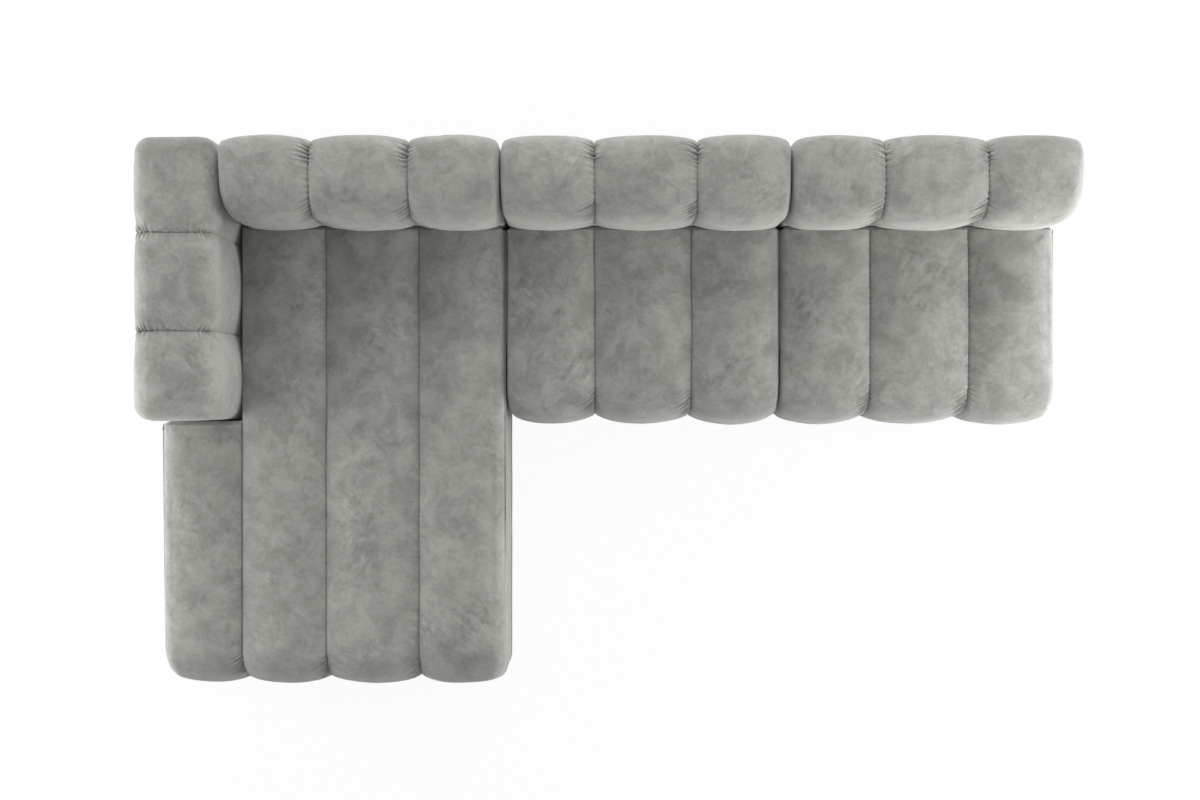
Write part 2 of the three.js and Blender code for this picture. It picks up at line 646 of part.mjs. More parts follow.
function armlessUnit(name, socketed, tongued) {
  const base = {
    left: END_WALL + CLEARANCE,
    right: UNIT_WIDTH - END_WALL - CLEARANCE,
    front: UNIT_FRONT + SEAT_FRONT_SWELL + COVER_WALL + CLEARANCE,
    rear: BASE_REAR,
  };
  const sides = [0, UNIT_WIDTH];
  const feet = footPlaces(base, []);
  const back = backFrame(...sides);
  const middle = UNIT_WIDTH / 2;
  const holes = [...(socketed ? socketHoles(0) : []), ...(tongued ? tongueHoles(UNIT_WIDTH) : [])];

  const edges = edgesOf(0, UNIT_WIDTH, UNIT_CHANNEL_SHARES);
  const seatPad = channelledPad(
    "x",
    seatOutline(UNIT_FRONT, SEAT_REAR, HEM, 0),
    stations(edges, SEAT_BULGE, EDGE_INSET, EDGE_INSET),
  );
  const seatCover = cut(seatPad, [seatSpace(sides, UNIT_FRONT, SEAT_REAR + OVERRUN), ...holes]);
  const rails = [seatBackRail(base.left, base.right), centreRail(middle, base.front, base.rear)];
  const drilled = [...holes, ...back.bolts.map((at) => counterbore("x", at, BASE_REAR, 1))];
  const landing = {
    x: [base.left + RAIL_THICKNESS - STRAP_LANDING, base.right - RAIL_THICKNESS + STRAP_LANDING],
    y: [base.front + RAIL_THICKNESS - STRAP_LANDING, SEAT_REAR - RAIL_THICKNESS / 2 + STRAP_LANDING],
  };
  const net = join([...straps("x", landing.x, landing.y), ...straps("y", landing.y, landing.x)]);

  const unit = new THREE.Group();
  unit.add(
    meshOf(`${name}_base_frame`, baseFrame(base, rails, feet, drilled), timber),
    meshOf(`${name}_seat_webbing`, net, strap),
    meshOf(`${name}_seat_foam`, seatFoam(sides, UNIT_FRONT, SEAT_REAR), foam),
    meshOf(`${name}_seat_cover`, seatCover, velvet),
    meshOf(`${name}_back_frame`, uprightFrame("x", back), timber),
    meshOf(`${name}_back_foam`, foamCap("x", backOutline, sides, back), foam),
    meshOf(`${name}_back_cover`, backCover(sides, UNIT_CHANNEL_SHARES, false), velvet),
    meshOf(`${name}_dust_cover`, dustCover(base, feet), cambric),
    ...feet.map((at, i) => meshOf(`${name}_foot_${i + 1}`, foot(at), plastic)),
    ...boltMeshes(`${name}_back_bolt`, "x", back, BASE_REAR, 1),
  );
  HOOK_PLACES.forEach((y, i) => {
    if (socketed) unit.add(meshOf(`${name}_socket_plate_${i + 1}`, socket(0, y), steel));
    if (tongued) unit.add(meshOf(`${name}_tongue_plate_${i + 1}`, tongue(UNIT_WIDTH, y), steel));
  });
  return unit;
}

// The chaise unit: an arm on its left, a back behind three channels, and a long seat of four channels

function chaiseUnit() {
  const name = "chaise";
  const base = {
    left: ARM_OUTER_SEAM + END_WALL + CLEARANCE,
    right: CHAISE_RIGHT - END_WALL - CLEARANCE,
    front: CHAISE_FRONT + SEAT_FRONT_SWELL + COVER_WALL + CLEARANCE,
    rear: BASE_REAR,
  };
  const armStep = ARM_FRONT - CREASE_GAP;
  const backSides = [CHAISE_SEAT_LEFT, CHAISE_RIGHT];
  const feet = footPlaces(base, [armStep - RAIL_THICKNESS - CORNER_BLOCK_SIZE / 2]);
  const back = backFrame(...backSides);
  const arm = armFrame(base.left);
  const hookHoles = tongueHoles(CHAISE_RIGHT);
  const drilled = [
    ...hookHoles,
    ...back.bolts.map((at) => counterbore("x", at, BASE_REAR, 1)),
    ...arm.bolts.map((at) => counterbore("y", at, base.left, -1)),
  ];

  const seatCover = cut(chaiseSeatCover(armStep), hookHoles);

  const unit = new THREE.Group();
  unit.add(
    meshOf(`${name}_base_frame`, baseFrame(base, chaiseRails(base, armStep), feet, drilled), timber),
    meshOf(`${name}_seat_webbing`, chaiseWebbing(base, armStep), strap),
    meshOf(`${name}_seat_foam`, chaiseSeatFoam(armStep), foam),
    meshOf(`${name}_seat_cover`, seatCover, velvet),
    meshOf(`${name}_back_frame`, uprightFrame("x", back), timber),
    meshOf(`${name}_back_foam`, foamCap("x", backOutline, backSides, back), foam),
    meshOf(`${name}_back_cover`, backCover(backSides, CHAISE_CHANNEL_SHARES, true), velvet),
    meshOf("arm_frame", uprightFrame("y", arm), timber),
    meshOf("arm_foam", foamCap("y", armOutline, [ARM_FRONT, ARM_REAR], arm), foam),
    meshOf("arm_cover", armCover(), velvet),
    meshOf(`${name}_dust_cover`, dustCover(base, feet), cambric),
    ...feet.map((at, i) => meshOf(`${name}_foot_${i + 1}`, foot(at), plastic)),
    ...boltMeshes(`${name}_back_bolt`, "x", back, BASE_REAR, 1),
    ...boltMeshes("arm_bolt", "y", arm, base.left, -1),
    ...HOOK_PLACES.map((y, i) => meshOf(`${name}_tongue_plate_${i + 1}`, tongue(CHAISE_RIGHT, y), steel)),
  );
  return unit;
}

function chaiseRails(base, armStep) {
  const half = RAIL_THICKNESS / 2;
  const z = [BASE_BOTTOM, BASE_TOP];
  return [
    seatBackRail(base.left, base.right),
    block([base.left, base.right], [armStep - RAIL_THICKNESS, armStep], z),
    block([CHAISE_SEAT_LEFT - half, CHAISE_SEAT_LEFT + half], [armStep - half, base.rear], z),
    centreRail((base.left + base.right) / 2, base.front, base.rear),
  ];
}

function chaiseWebbing(base, armStep) {
  const half = RAIL_THICKNESS / 2;
  const wide = [base.left + RAIL_THICKNESS - STRAP_LANDING, base.right - RAIL_THICKNESS + STRAP_LANDING];
  const narrow = [CHAISE_SEAT_LEFT + half - STRAP_LANDING, wide[1]];
  const near = [base.front + RAIL_THICKNESS - STRAP_LANDING, armStep - RAIL_THICKNESS + STRAP_LANDING];
  const far = [near[1], SEAT_REAR - half + STRAP_LANDING];
  return join([
    ...straps("x", wide, near),
    ...straps("x", narrow, far),
    ...straps("y", near, [wide[0], narrow[0]]),
    ...straps("y", [near[0], far[1]], narrow),
  ]);
}

function chaiseSeatFoam(armStep) {
  const bySeat = seatFoam(backSpan(), CHAISE_FRONT, SEAT_REAR);
  const byFront = seatFoam([ARM_OUTER_SEAM, CHAISE_RIGHT], CHAISE_FRONT, armStep - COVER_WALL - CLEARANCE);
  return bySeat.add(byFront);
}

function backSpan() {
  return [CHAISE_SEAT_LEFT, CHAISE_RIGHT];
}

// Four channels, the first of which stops in front of the arm.
function chaiseSeatCover(armStep) {
  const main = edgesOf(CHAISE_SEAT_LEFT, CHAISE_SEAT_WIDTH, CHAISE_CHANNEL_SHARES);
  const longPad = channelledPad(
    "x",
    seatOutline(CHAISE_FRONT, SEAT_REAR, HEM, 0),
    stations(main, SEAT_BULGE, 0, EDGE_INSET),
  );
  const first = stations([CHAISE_LEFT + ARM_OVERHANG, CHAISE_SEAT_LEFT], SEAT_BULGE, EDGE_INSET, 0);
  first.push({ at: CHAISE_SEAT_LEFT + COVER_WALL, swell: 0 });
  const shortPad = channelledPad("x", seatOutline(CHAISE_FRONT, armStep, HEM, 0), first);
  const spaces = [
    seatSpace(backSpan(), CHAISE_FRONT, SEAT_REAR + OVERRUN),
    seatSpace([ARM_OUTER_SEAM, CHAISE_RIGHT], CHAISE_FRONT, armStep - COVER_WALL),
    block(
      [ARM_OUTER_SEAM + END_WALL, CHAISE_SEAT_LEFT + END_WALL],
      [armStep - COVER_WALL - OVERRUN, SEAT_REAR + OVERRUN],
      [HEM - OVERRUN, TUCK_HEIGHT],
    ),
  ];
  return cut(longPad.add(shortPad), spaces);
}

// Three channels from front to rear, open below the tuck towards the seat.
function armCover() {
  const edges = edgesOf(ARM_FRONT, ARM_LENGTH, ARM_CHANNEL_SHARES);
  const pad = channelledPad("y", armOutline(HEM, 0), stations(edges, BACK_BULGE, EDGE_INSET, EDGE_INSET));
  const space = prism("y", ringOf(armOutline(HEM - OVERRUN, COVER_WALL), 0), [
    ARM_FRONT + END_WALL,
    ARM_REAR - END_WALL,
  ]);
  const passage = block(
    [ARM_OUTER_SEAM + END_WALL, CHAISE_SEAT_LEFT],
    [ARM_FRONT - OVERRUN, ARM_REAR - END_WALL],
    [HEM - OVERRUN, TUCK_HEIGHT],
  );
  return cut(pad, [space, passage]);
}

const sofa = new THREE.Group();
const middleUnit = armlessUnit("middle", true, true);
middleUnit.position.x = CHAISE_RIGHT + UNIT_GAP;
const rightUnit = armlessUnit("right", true, false);
rightUnit.position.x = middleUnit.position.x + UNIT_WIDTH + UNIT_GAP;
sofa.add(chaiseUnit(), middleUnit, rightUnit);

export default sofa;
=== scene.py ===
import math
import random

import bmesh
import bpy
import numpy as np
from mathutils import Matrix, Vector


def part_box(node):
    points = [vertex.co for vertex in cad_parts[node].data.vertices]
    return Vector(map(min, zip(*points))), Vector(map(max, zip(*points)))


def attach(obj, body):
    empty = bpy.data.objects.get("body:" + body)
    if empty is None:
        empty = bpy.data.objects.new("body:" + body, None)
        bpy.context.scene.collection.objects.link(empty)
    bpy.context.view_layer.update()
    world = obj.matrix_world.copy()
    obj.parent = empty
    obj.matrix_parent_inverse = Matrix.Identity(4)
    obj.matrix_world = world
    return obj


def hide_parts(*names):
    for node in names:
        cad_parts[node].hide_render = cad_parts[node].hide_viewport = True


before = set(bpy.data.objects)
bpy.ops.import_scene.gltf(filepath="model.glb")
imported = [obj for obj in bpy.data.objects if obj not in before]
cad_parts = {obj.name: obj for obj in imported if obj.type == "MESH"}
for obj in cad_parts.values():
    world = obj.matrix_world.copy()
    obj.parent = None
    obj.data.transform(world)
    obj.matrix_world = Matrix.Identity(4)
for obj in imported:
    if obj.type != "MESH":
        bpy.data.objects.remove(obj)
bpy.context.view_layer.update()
scene = bpy.context.scene

# How the channels swell: their heights, how full their lobes are (2 is an ellipse), and the share
# of the height that each stretch of a pad takes
SEAT_BULGE = 0.03
BACK_BULGE = 0.03
ARM_BULGE = 0.024
LOBE_POWER = 2.05
SEAT_FRONT_POWER = 1.85
SEAT_FRONT_SHARE = 1.35
BACK_FACE_SHARE = 1.0
BACK_REAR_SHARE = 0.82
ARM_FACE_SHARE = 0.82
ARM_OUTER_SHARE = 0.28
HEM_SHARE = 0.4
CHANNEL_FULLNESS = (0.94, 1.04)

# Where the seams stand in from a box's faces, and the covers' feet from the seams above them
ARM_OUTER_SEAM = 0.012
SEAT_FRONT_PROUD = 0.003
BACK_REAR_PROUD = 0.004
ARM_SET_BACK = 0.005
ARM_FOOT_GAP = 0.0015
BACK_FOOT_STEP = 0.0025
ARM_STEP_FOOT = 0.0045

# The widths of the channels, as shares of each pad
UNIT_CHANNELS = (0.322, 0.356, 0.322)
RIGHT_BACK_CHANNELS = (0.313, 0.356, 0.331)
RIGHT_SEAT_CHANNELS = (0.324, 0.363, 0.313)
CHAISE_SEAT_CHANNELS = (0.321, 0.354, 0.325)
CHAISE_BACK_CHANNELS = (0.324, 0.354, 0.322)
ARM_CHANNELS = (0.32, 0.347, 0.333)

# Roundings of the pads, the heights between which a tuck or a foot eases in, and the hem
SEAT_FRONT_RADIUS = 0.11
SEAT_REAR_RADIUS = 0.01
ARM_STEP = -0.002
BACK_FRONT_RADIUS = 0.1
BACK_REAR_RADIUS = 0.055
ARM_RADIUS = 0.052
BACK_TUCK = (0.41, 0.48)
ARM_TUCK = (0.32, 0.38)
HEM_RISE = 0.11
CHAISE_FRONTS = (0.003, 0.013)
OPEN_BELOW = 0.212
OPEN_EDGE_STRIP = 0.05
BASE_RISE = (0.21, 0.3)
ARM_RISE = (0.3, 0.38)
SEAT_END_RISE = (0.06, 0.36)
CLOTH = 0.004
SEWING_DISTANCE = 0.00003
HEM_LIFT = 0.001
HEM_EDGE = 0.0005
MITRE_LIMIT = -0.5
HEM_TURN = ((0.0012, 0.0028), (0.004, 0.004), (0.016, 0.004))

# How round each pad's ends are: the radius over its low side and over its high side
BASE_ROUNDING = 0.022
TUCKED_ROUNDING = 0.008
SEAT_ENDS = ((0.014, 0.022), (0.014, 0.022))
FREE_SEAT_END = (0.022, 0.022)
CHAISE_SEAT_END = (0.036, 0.022)
CHAISE_FRONT_END = (0.05, 0.03)
BACK_ENDS = ((0.022, 0.016), (0.022, 0.016))
FREE_BACK_END = (0.06, 0.015)
CHAISE_BACK_END = (0.06, 0.006)
ARM_ENDS = ((0.042, 0.028), (0.04, 0.024))

# Seams. Gathers have a start and an end, counted from the middle of a rounded edge with the top as
# the positive way, then a pitch, a lean and a length. A tuck has a depth and a width.
SEAM_DEPTH = 0.003
SEAM_WIDTH = 0.0035
SEAT_GATHERS = ((-0.034, 0.058, 0.0096, 0.85, 0.034), None)
BACK_GATHERS = ((-0.07, 0.03, 0.0105, 0.62, 0.03), (-0.006, 0.062, 0.0132, 0.24, 0.023))
ARM_GATHERS = ((-0.03, 0.04, 0.0112, 0.5, 0.022), (-0.044, 0.03, 0.0112, 0.5, 0.022))
TUCK = (0.0062, 0.0028)
PUCKER = (0.0019, 0.0042)
PUCKER_RUN = (0.017, 0.15, 0.02)
GATHER_REACH = 0.09
RIDGE_SHARE = 0.45
RIDGE_PLACE = 1.85
SEAM_WANDER = 0.0012
WANDER_FADE = 0.05

# How strong the tucks are on the two sides of a seam, and the ranges in which each one varies
FULLER_LEFT = (1.15, 0.6)
EVEN = (1.0, 1.0)
FIRST_PITCHES = (0.2, 1)
PITCHES = (0.75, 1.35)
DEPTHS = (0.65, 1.25)
WIDTHS = (0.85, 1.3)
LENGTHS = (0.6, 1.25)
LEANS = (0.8, 1.2)
LEAST_LEAN = 0.4
DEPTH_EASE = 0.35

# How much longer than its channel the last lobe is drawn at the right unit's free end
FREE_SEAT_FULL = 0.03
FREE_BACK_FULL = 0.01

# The cloth simulation: its grid, its slack at the start, its pressure and frames, how far it may
# move, its share of the swelling, and the share of the bulge below which it is held
CLOTH_STEP = 0.012
SLACK = 0.22
PRESSURE = 12
SETTLING_FRAMES = 20
DEEPEST = -0.003
FARTHEST = 0.022
SIMULATED_SHARE = 0.62
HELD_BELOW = 0.04

# Unevenness, the end panels, and the room that they leave for the hook plates
WOBBLE = 0.0016
WOBBLE_LENGTH = 0.16
WAVES = 14
WAVE_LENGTHS = (0.6, 1.6)
PANEL_CROWN = 0.0022
PANEL_WELT_WIDTH = 0.006
PANEL_UNEVEN = 0.3
HOOK_PLACES = (0.1754, 0.5584)
HOOK_ROOM = (0.042, 0.29)
HOOK_FADE = (1.6, 1.1)

# The seeds of the pads' random draws
SEEDS = {
    "seat": 100,
    "back": 200,
    "chaise_seat": 110,
    "short_seat": 111,
    "chaise_back": 210,
    "arm": 220,
}

# Mesh spacing along the profile, and how it widens away from the arcs and the gathers. Then the
# places across a channel, in millimetres from a seam, and those at an end, as shares of its
# rounding. TOUCH and DIGITS say how close two places are when they count as one.
GATHER_STEP = 0.0017
FINE_STEP = 0.005
COARSE_STEP = 0.013
ARC_FADE = (0.01, 0.06)
GATHER_FADE = (0.01, 0.03)
MILLIMETRE = 0.001
SEAM_STOPS = (0, 1.5, 3.5, 6, 9, 12, 15, 18.5, 22, 26, 30, 34.5, 39.5, 46, 55, 69, 88, 112)
END_STOPS = (0, 0.04, 0.12, 0.25, 0.43, 0.68, 1)
NEAR_SEAM = 0.46
TOUCH = 1e-6
DIGITS = 5

# Light: the sky's level on the sofa, how white the floor looks, and the lamps
SKY_ABOVE = 0.416
SKY_ALL_ROUND = 0.48
SKY_TURNS = (0.12, 0.7)
FLOOR_GLOW = 0.94
FLOOR_GREY = 0.8
FLOOR_RADIUS = 14
FLOOR_SIDES = 96
LAMPS = (
    ("left_softbox", (-3.2, -0.2, 0.95), (-1.0, -0.1, 0.45), 1.6, 56),
    ("right_softbox", (3.2, -0.1, 1.1), (1.0, 0.0, 0.45), 1.8, 88),
    ("rear_softbox", (0, 4.2, 2.2), (0, 0.2, 0.4), 4.0, 152),
    ("front_softbox", (0, -4.4, 1.4), (0, 0, 0.4), 3.0, 7),
    ("top_softbox", (0.35, -0.3, 2.9), (0.35, -0.2, 0.4), 0.7, 7.5),
)

# Inside: foam, webbing and the cloth underneath
FOAM_INSET = 0.0123
FOAM_BELOW_SEAMS = 0.012
FOAM_END = 0.0163
FOAM_STEP = 0.05
FOAM_UNEVEN = 0.0008
FOAM_EDGE = 0.009
FOAM_EDGE_ANGLE = 40
FOAM_EDGE_STEPS = 3
FOAM_WAVE_STEPS = 6
FOAM_CORNER_STEPS = 7
SEAT_FOAM_FILL = 0.9
CAP_FOAM_FILL = 0.95
SLOT_PLAY = 0.0003
RAIL = 0.024
STRAP_PITCH = 0.2
STRAP_WIDTH = 0.08
STRAP_THICKNESS = 0.0014
STRAP_LIFT = 0.00075
STRAP_STEP = 0.012
STRAP_LINES = (-1, -0.94, -0.5, 0, 0.5, 0.94, 1)
STRAP_THIN_EDGE = 0.25
STRAP_CROSSING = 0.55
DUST_INSET = -0.006
DUST_STEP = 0.03
DUST_HELD = 0.036
DUST_SAG = 0.004
DUST_CLOTH = 0.0006
DUST_SLOPE = 0.3
DUST_CREASE = 0.2
DUST_CREASE_LENGTH = 0.09
DUST_SEED = 7
CLOTH_GAP = 0.0001

# The photograph's view: straight down from above the seats
CAMERA_PLACE = (-0.022, 0.0685, 5.24)
CAMERA_LENS = 43.29
CAMERA_SENSOR = 36
CAMERA_REACH = 60


class Term:
    """One output of a node. Python's operators on it add Math nodes."""

    def __init__(self, finish, socket):
        self.finish = finish
        self.socket = socket

    def __add__(self, other):
        return self.finish.maths("ADD", self, other)

    def __sub__(self, other):
        return self.finish.maths("SUBTRACT", self, other)

    def __mul__(self, other):
        return self.finish.maths("MULTIPLY", self, other)

    def __rsub__(self, other):
        return self.finish.maths("SUBTRACT", other, self)

    __radd__ = __add__
    __rmul__ = __mul__


class Finish:
    """A material, or the studio's sky, under construction."""

    def __init__(self, name, kind="materials"):
        self.material = getattr(bpy.data, kind).new(name)
        self.material.use_nodes = True
        self.tree = self.material.node_tree
        self.tree.nodes.clear()

    def node(self, kind, settings=None, inputs=None, output=0):
        """Adds a node, sets it up, then gives its sockets their values or links."""
        made = self.tree.nodes.new(kind)
        for name, value in (settings or {}).items():
            if name == "stops":
                set_stops(made.color_ramp, value)
            else:
                setattr(made, name, value)
        for name, value in (inputs or {}).items():
            if isinstance(value, Term):
                self.tree.links.new(value.socket, made.inputs[name])
            else:
                made.inputs[name].default_value = value
        return Term(self, made.outputs[output]) if made.outputs else None

    def maths(self, operation, a, b=0.0):
        return self.node("ShaderNodeMath", {"operation": operation}, {0: a, 1: b})

    def place(self, stretch=(1, 1, 1), shift=None):
        """The place on the object in metres, stretched and shifted."""
        place = self.node("ShaderNodeTexCoord", output="Object")
        if shift is not None:
            place = self.node("ShaderNodeVectorMath", {"operation": "ADD"}, {0: place, 1: shift})
        return self.node("ShaderNodeVectorMath", {"operation": "MULTIPLY"}, {0: place, 1: stretch})

    def noise(self, place, scale, detail=2.0, roughness=0.5, distortion=0.0, output="Fac"):
        inputs = {
            "Vector": place,
            "Scale": scale,
            "Detail": detail,
            "Roughness": roughness,
            "Distortion": distortion,
        }
        return self.node("ShaderNodeTexNoise", None, inputs, output)

    def spread(self, value, low, high):
        """The value's range from low to high, eased to 0 and 1."""
        inputs = {"Value": value, "From Min": low, "From Max": high}
        return self.node("ShaderNodeMapRange", {"interpolation_type": "SMOOTHSTEP"}, inputs)

    def blend(self, factor, dark, light):
        inputs = {"Factor": factor, 6: dark, 7: light}
        return self.node("ShaderNodeMix", {"data_type": "RGBA"}, inputs, output=2)

    def bump(self, height, strength, distance):
        return self.node(
            "ShaderNodeBump", None, {"Height": height, "Strength": strength, "Distance": distance}
        )

    def seen(self):
        """1 where the camera looks, also through glass or in a reflection, else 0."""
        total = 0.0
        for ray in ("Is Camera Ray", "Is Glossy Ray", "Is Transmission Ray"):
            total = self.maths("MAXIMUM", total, self.node("ShaderNodeLightPath", output=ray))
        return total

    def surface(self, **sockets):
        """Closes the material with one Principled surface."""
        inputs = {name.replace("_", " "): value for name, value in sockets.items()}
        shader = self.node("ShaderNodeBsdfPrincipled", None, inputs)
        self.node("ShaderNodeOutputMaterial", None, {"Surface": shader})
        return self.material


def set_stops(ramp, stops):
    while len(ramp.elements) < len(stops):
        ramp.elements.new(0.5)
    for element, (position, colour) in zip(ramp.elements, stops):
        element.position = position
        element.color = colour


def grey(value):
    return (value, value, value, 1)


# Finishes

VELVET_SHADE = (0.118, 0.119, 0.107, 1)
VELVET_LIGHT = (0.35, 0.351, 0.324, 1)
FOAM_COLOURS = ((0.72, 0.62, 0.42, 1), (0.86, 0.8, 0.62, 1))
TIMBER_COLOURS = ((0.4, 0.235, 0.1, 1), (0.66, 0.45, 0.24, 1))
ZINC_COLOURS = ((0.46, 0.47, 0.48, 1), (0.7, 0.71, 0.72, 1))
STROKE_TURNS = (38, -52)
STROKE_STRETCH = 3.4
DRIFT_REACH = 0.045
CREASE_WIDTH = 0.014

# The layers of the pile. Each has the scale, detail, roughness and distortion of its noise, and
# where it counts, the stretch of it that runs from none to all.
PILE_LAYERS = {
    "clouds": ((3.6, 3, 0.55), (0.32, 0.68)),
    "patches": ((12, 9, 0.72, 0.3), (0.34, 0.66)),
    "bruises": ((17, 6, 0.66, 0.8), (0.54, 0.72)),
    "brushing": ((26, 7, 0.72, 0.4), None),
    "stroke": ((15, 4, 0.6, 0.5), (0.36, 0.66)),
    "stroke_way": ((3.1, 2), (0.46, 0.54)),
    "worked": ((5.2, 2), (0.5, 0.66)),
    "nap": ((72, 6, 0.75, 0.5), None),
    "pile": ((340, 4, 0.75), None),
    "folds": ((16, 4, 0.55, 1.6), None),
    "folded": ((6, 2), (0.5, 0.62)),
}


def pile_layer(velvet, name, place):
    noise, stretch = PILE_LAYERS[name]
    layer = velvet.noise(place, *noise)
    return velvet.spread(layer, *stretch) if stretch else layer


def stroked(velvet, place, turn):
    """Streaks where a hand has brushed the pile one way."""
    inputs = {"Vector": place, "Angle": math.radians(turn)}
    turned = velvet.node("ShaderNodeVectorRotate", {"rotation_type": "Z_AXIS"}, inputs)
    inputs = {0: turned, 1: (1.0, STROKE_STRETCH, STROKE_STRETCH)}
    drawn_out = velvet.node("ShaderNodeVectorMath", {"operation": "MULTIPLY"}, inputs)
    return pile_layer(velvet, "stroke", drawn_out)


def crushed_velvet():
    """Pile that lies in soft patches, each way a different grey, with small creases."""
    velvet = Finish("crushed_velvet")
    plain = velvet.place()
    drift = velvet.noise(plain, 9, 3, output="Color")
    inputs = {0: drift, 1: (0.5, 0.5, 0.5)}
    drift = velvet.node("ShaderNodeVectorMath", {"operation": "SUBTRACT"}, inputs)
    inputs = {0: drift, "Scale": DRIFT_REACH}
    drift = velvet.node("ShaderNodeVectorMath", {"operation": "SCALE"}, inputs)
    swept = velvet.place(shift=drift)
    sideways = velvet.place(stretch=(1, STROKE_STRETCH, STROKE_STRETCH), shift=drift)
    lengthways = velvet.place(stretch=(STROKE_STRETCH, 1, 1), shift=drift)
    clouds = pile_layer(velvet, "clouds", plain)
    patches = pile_layer(velvet, "patches", swept)
    bruises = pile_layer(velvet, "bruises", swept)
    across = pile_layer(velvet, "brushing", sideways)
    back = pile_layer(velvet, "brushing", lengthways)
    rightwards, leftwards = (stroked(velvet, swept, turn) for turn in STROKE_TURNS)
    way = pile_layer(velvet, "stroke_way", plain)
    strokes = rightwards * way + leftwards * (1 - way) - 0.5
    strokes = strokes * pile_layer(velvet, "worked", swept)
    nap = pile_layer(velvet, "nap", swept)
    pile = pile_layer(velvet, "pile", plain)
    folds = velvet.maths("ABSOLUTE", pile_layer(velvet, "folds", swept) - 0.5)
    crease = 1 - velvet.spread(folds, 0.0, CREASE_WIDTH)
    crease = crease * pile_layer(velvet, "folded", plain)
    tone = clouds * 0.18 + patches * 0.44 + (across + back) * 0.3 + nap * 0.3 + pile * 0.26
    tone = tone + strokes * 0.34 + crease * 0.2 - bruises * 0.22 - 0.34
    colour = velvet.blend(tone, VELVET_SHADE, VELVET_LIGHT)
    height = pile * 0.22 + nap * 0.5 + tone * 0.8 + crease * 0.6
    return velvet.surface(
        Base_Color=colour,
        Roughness=0.9,
        Specular_IOR_Level=0.12,
        Sheen_Weight=0.5,
        Sheen_Roughness=0.7,
        Sheen_Tint=(1.0, 1.0, 0.96, 1),
        Normal=velvet.bump(height, 0.7, 0.002),
    )


def cut_foam():
    foam = Finish("cut_foam")
    plain = foam.place()
    cells = foam.node("ShaderNodeTexVoronoi", None, {"Vector": plain, "Scale": 700}, "Distance")
    aging = foam.noise(plain, 5, 4, 0.6)
    return foam.surface(
        Base_Color=foam.blend(aging, *FOAM_COLOURS),
        Roughness=0.92,
        Specular_IOR_Level=0.2,
        Normal=foam.bump(cells, 0.5, 0.0008),
    )


def planed_timber():
    wood = Finish("planed_timber")
    wander = wood.noise(wood.place(), 3, 2, output="Color")
    rings = wood.noise(wood.place(stretch=(1, 1, 9), shift=wander), 11, 6, 0.62, 1.6)
    fibres = wood.noise(wood.place(stretch=(0.06, 1, 1)), 160, 3, 0.6)
    tone = wood.spread(rings, 0.3, 0.72) * 0.8 + fibres * 0.2
    return wood.surface(
        Base_Color=wood.blend(tone, *TIMBER_COLOURS),
        Roughness=0.62 + fibres * 0.15,
        Normal=wood.bump(fibres, 0.25, 0.0006),
    )


def woven_webbing():
    web = Finish("woven_webbing")
    inputs = {"Vector": web.place(), "Scale": 160}
    warp, weft = (
        web.node("ShaderNodeTexWave", {"bands_direction": way}, inputs, "Fac") for way in "XY"
    )
    weave = warp * weft
    colour = web.blend(weave, grey(0.006), grey(0.03))
    return web.surface(Base_Color=colour, Roughness=0.8, Normal=web.bump(weave, 0.6, 0.0006))


def bonded_cloth():
    cloth = Finish("bonded_cloth")
    plain = cloth.place()
    fibres = cloth.noise(plain, 260, 5, 0.7, 0.6)
    dots = cloth.node("ShaderNodeTexVoronoi", None, {"Vector": plain, "Scale": 380}, "Distance")
    return cloth.surface(
        Base_Color=cloth.blend(fibres, grey(0.008), grey(0.026)),
        Roughness=0.93,
        Specular_IOR_Level=0.2,
        Normal=cloth.bump(fibres * 0.6 + dots * 0.4, 0.4, 0.0005),
    )


def moulded_plastic():
    plastic = Finish("moulded_plastic")
    grain = plastic.noise(plastic.place(), 900, 2)
    scuffs = plastic.noise(plastic.place(stretch=(1, 1, 0.2)), 45, 5, 0.7)
    scuffs = plastic.spread(scuffs, 0.5, 0.75)
    return plastic.surface(
        Base_Color=plastic.blend(scuffs, grey(0.011), grey(0.028)),
        Roughness=0.42 + scuffs * 0.25,
        Normal=plastic.bump(grain, 0.2, 0.0003),
    )


def zinc_plate():
    zinc = Finish("zinc_plate")
    plain = zinc.place()
    spangle = zinc.node("ShaderNodeTexVoronoi", None, {"Vector": plain, "Scale": 130}, "Color")
    spangle = zinc.node("ShaderNodeSeparateColor", None, {"Color": spangle})
    handling = zinc.noise(plain, 35, 5, 0.65)
    return zinc.surface(
        Base_Color=zinc.blend(spangle * 0.4 + handling * 0.6, *ZINC_COLOURS),
        Metallic=1.0,
        Roughness=0.28 + handling * 0.2,
        Normal=zinc.bump(handling, 0.1, 0.0004),
    )


FINISHES = {
    "velvet": crushed_velvet(),
    "foam": cut_foam(),
    "timber": planed_timber(),
    "webbing": woven_webbing(),
    "dust_cloth": bonded_cloth(),
    "plastic": moulded_plastic(),
    "steel": zinc_plate(),
}


# Unevenness


class Ripples:
    """Smooth random waves of about one wavelength, the same on every run."""

    def __init__(self, seed, wavelength):
        chance = np.random.default_rng(seed)
        way = chance.normal(size=(WAVES, 3))
        way /= np.linalg.norm(way, axis=1, keepdims=True)
        length = wavelength * chance.uniform(*WAVE_LENGTHS, size=(WAVES, 1))
        self.waves = way * 2 * math.pi / length
        self.phases = chance.uniform(0, 2 * math.pi, size=WAVES)

    def at(self, points):
        turns = points @ self.waves.T + self.phases
        return np.sin(turns).sum(axis=-1) / math.sqrt(len(self.phases))


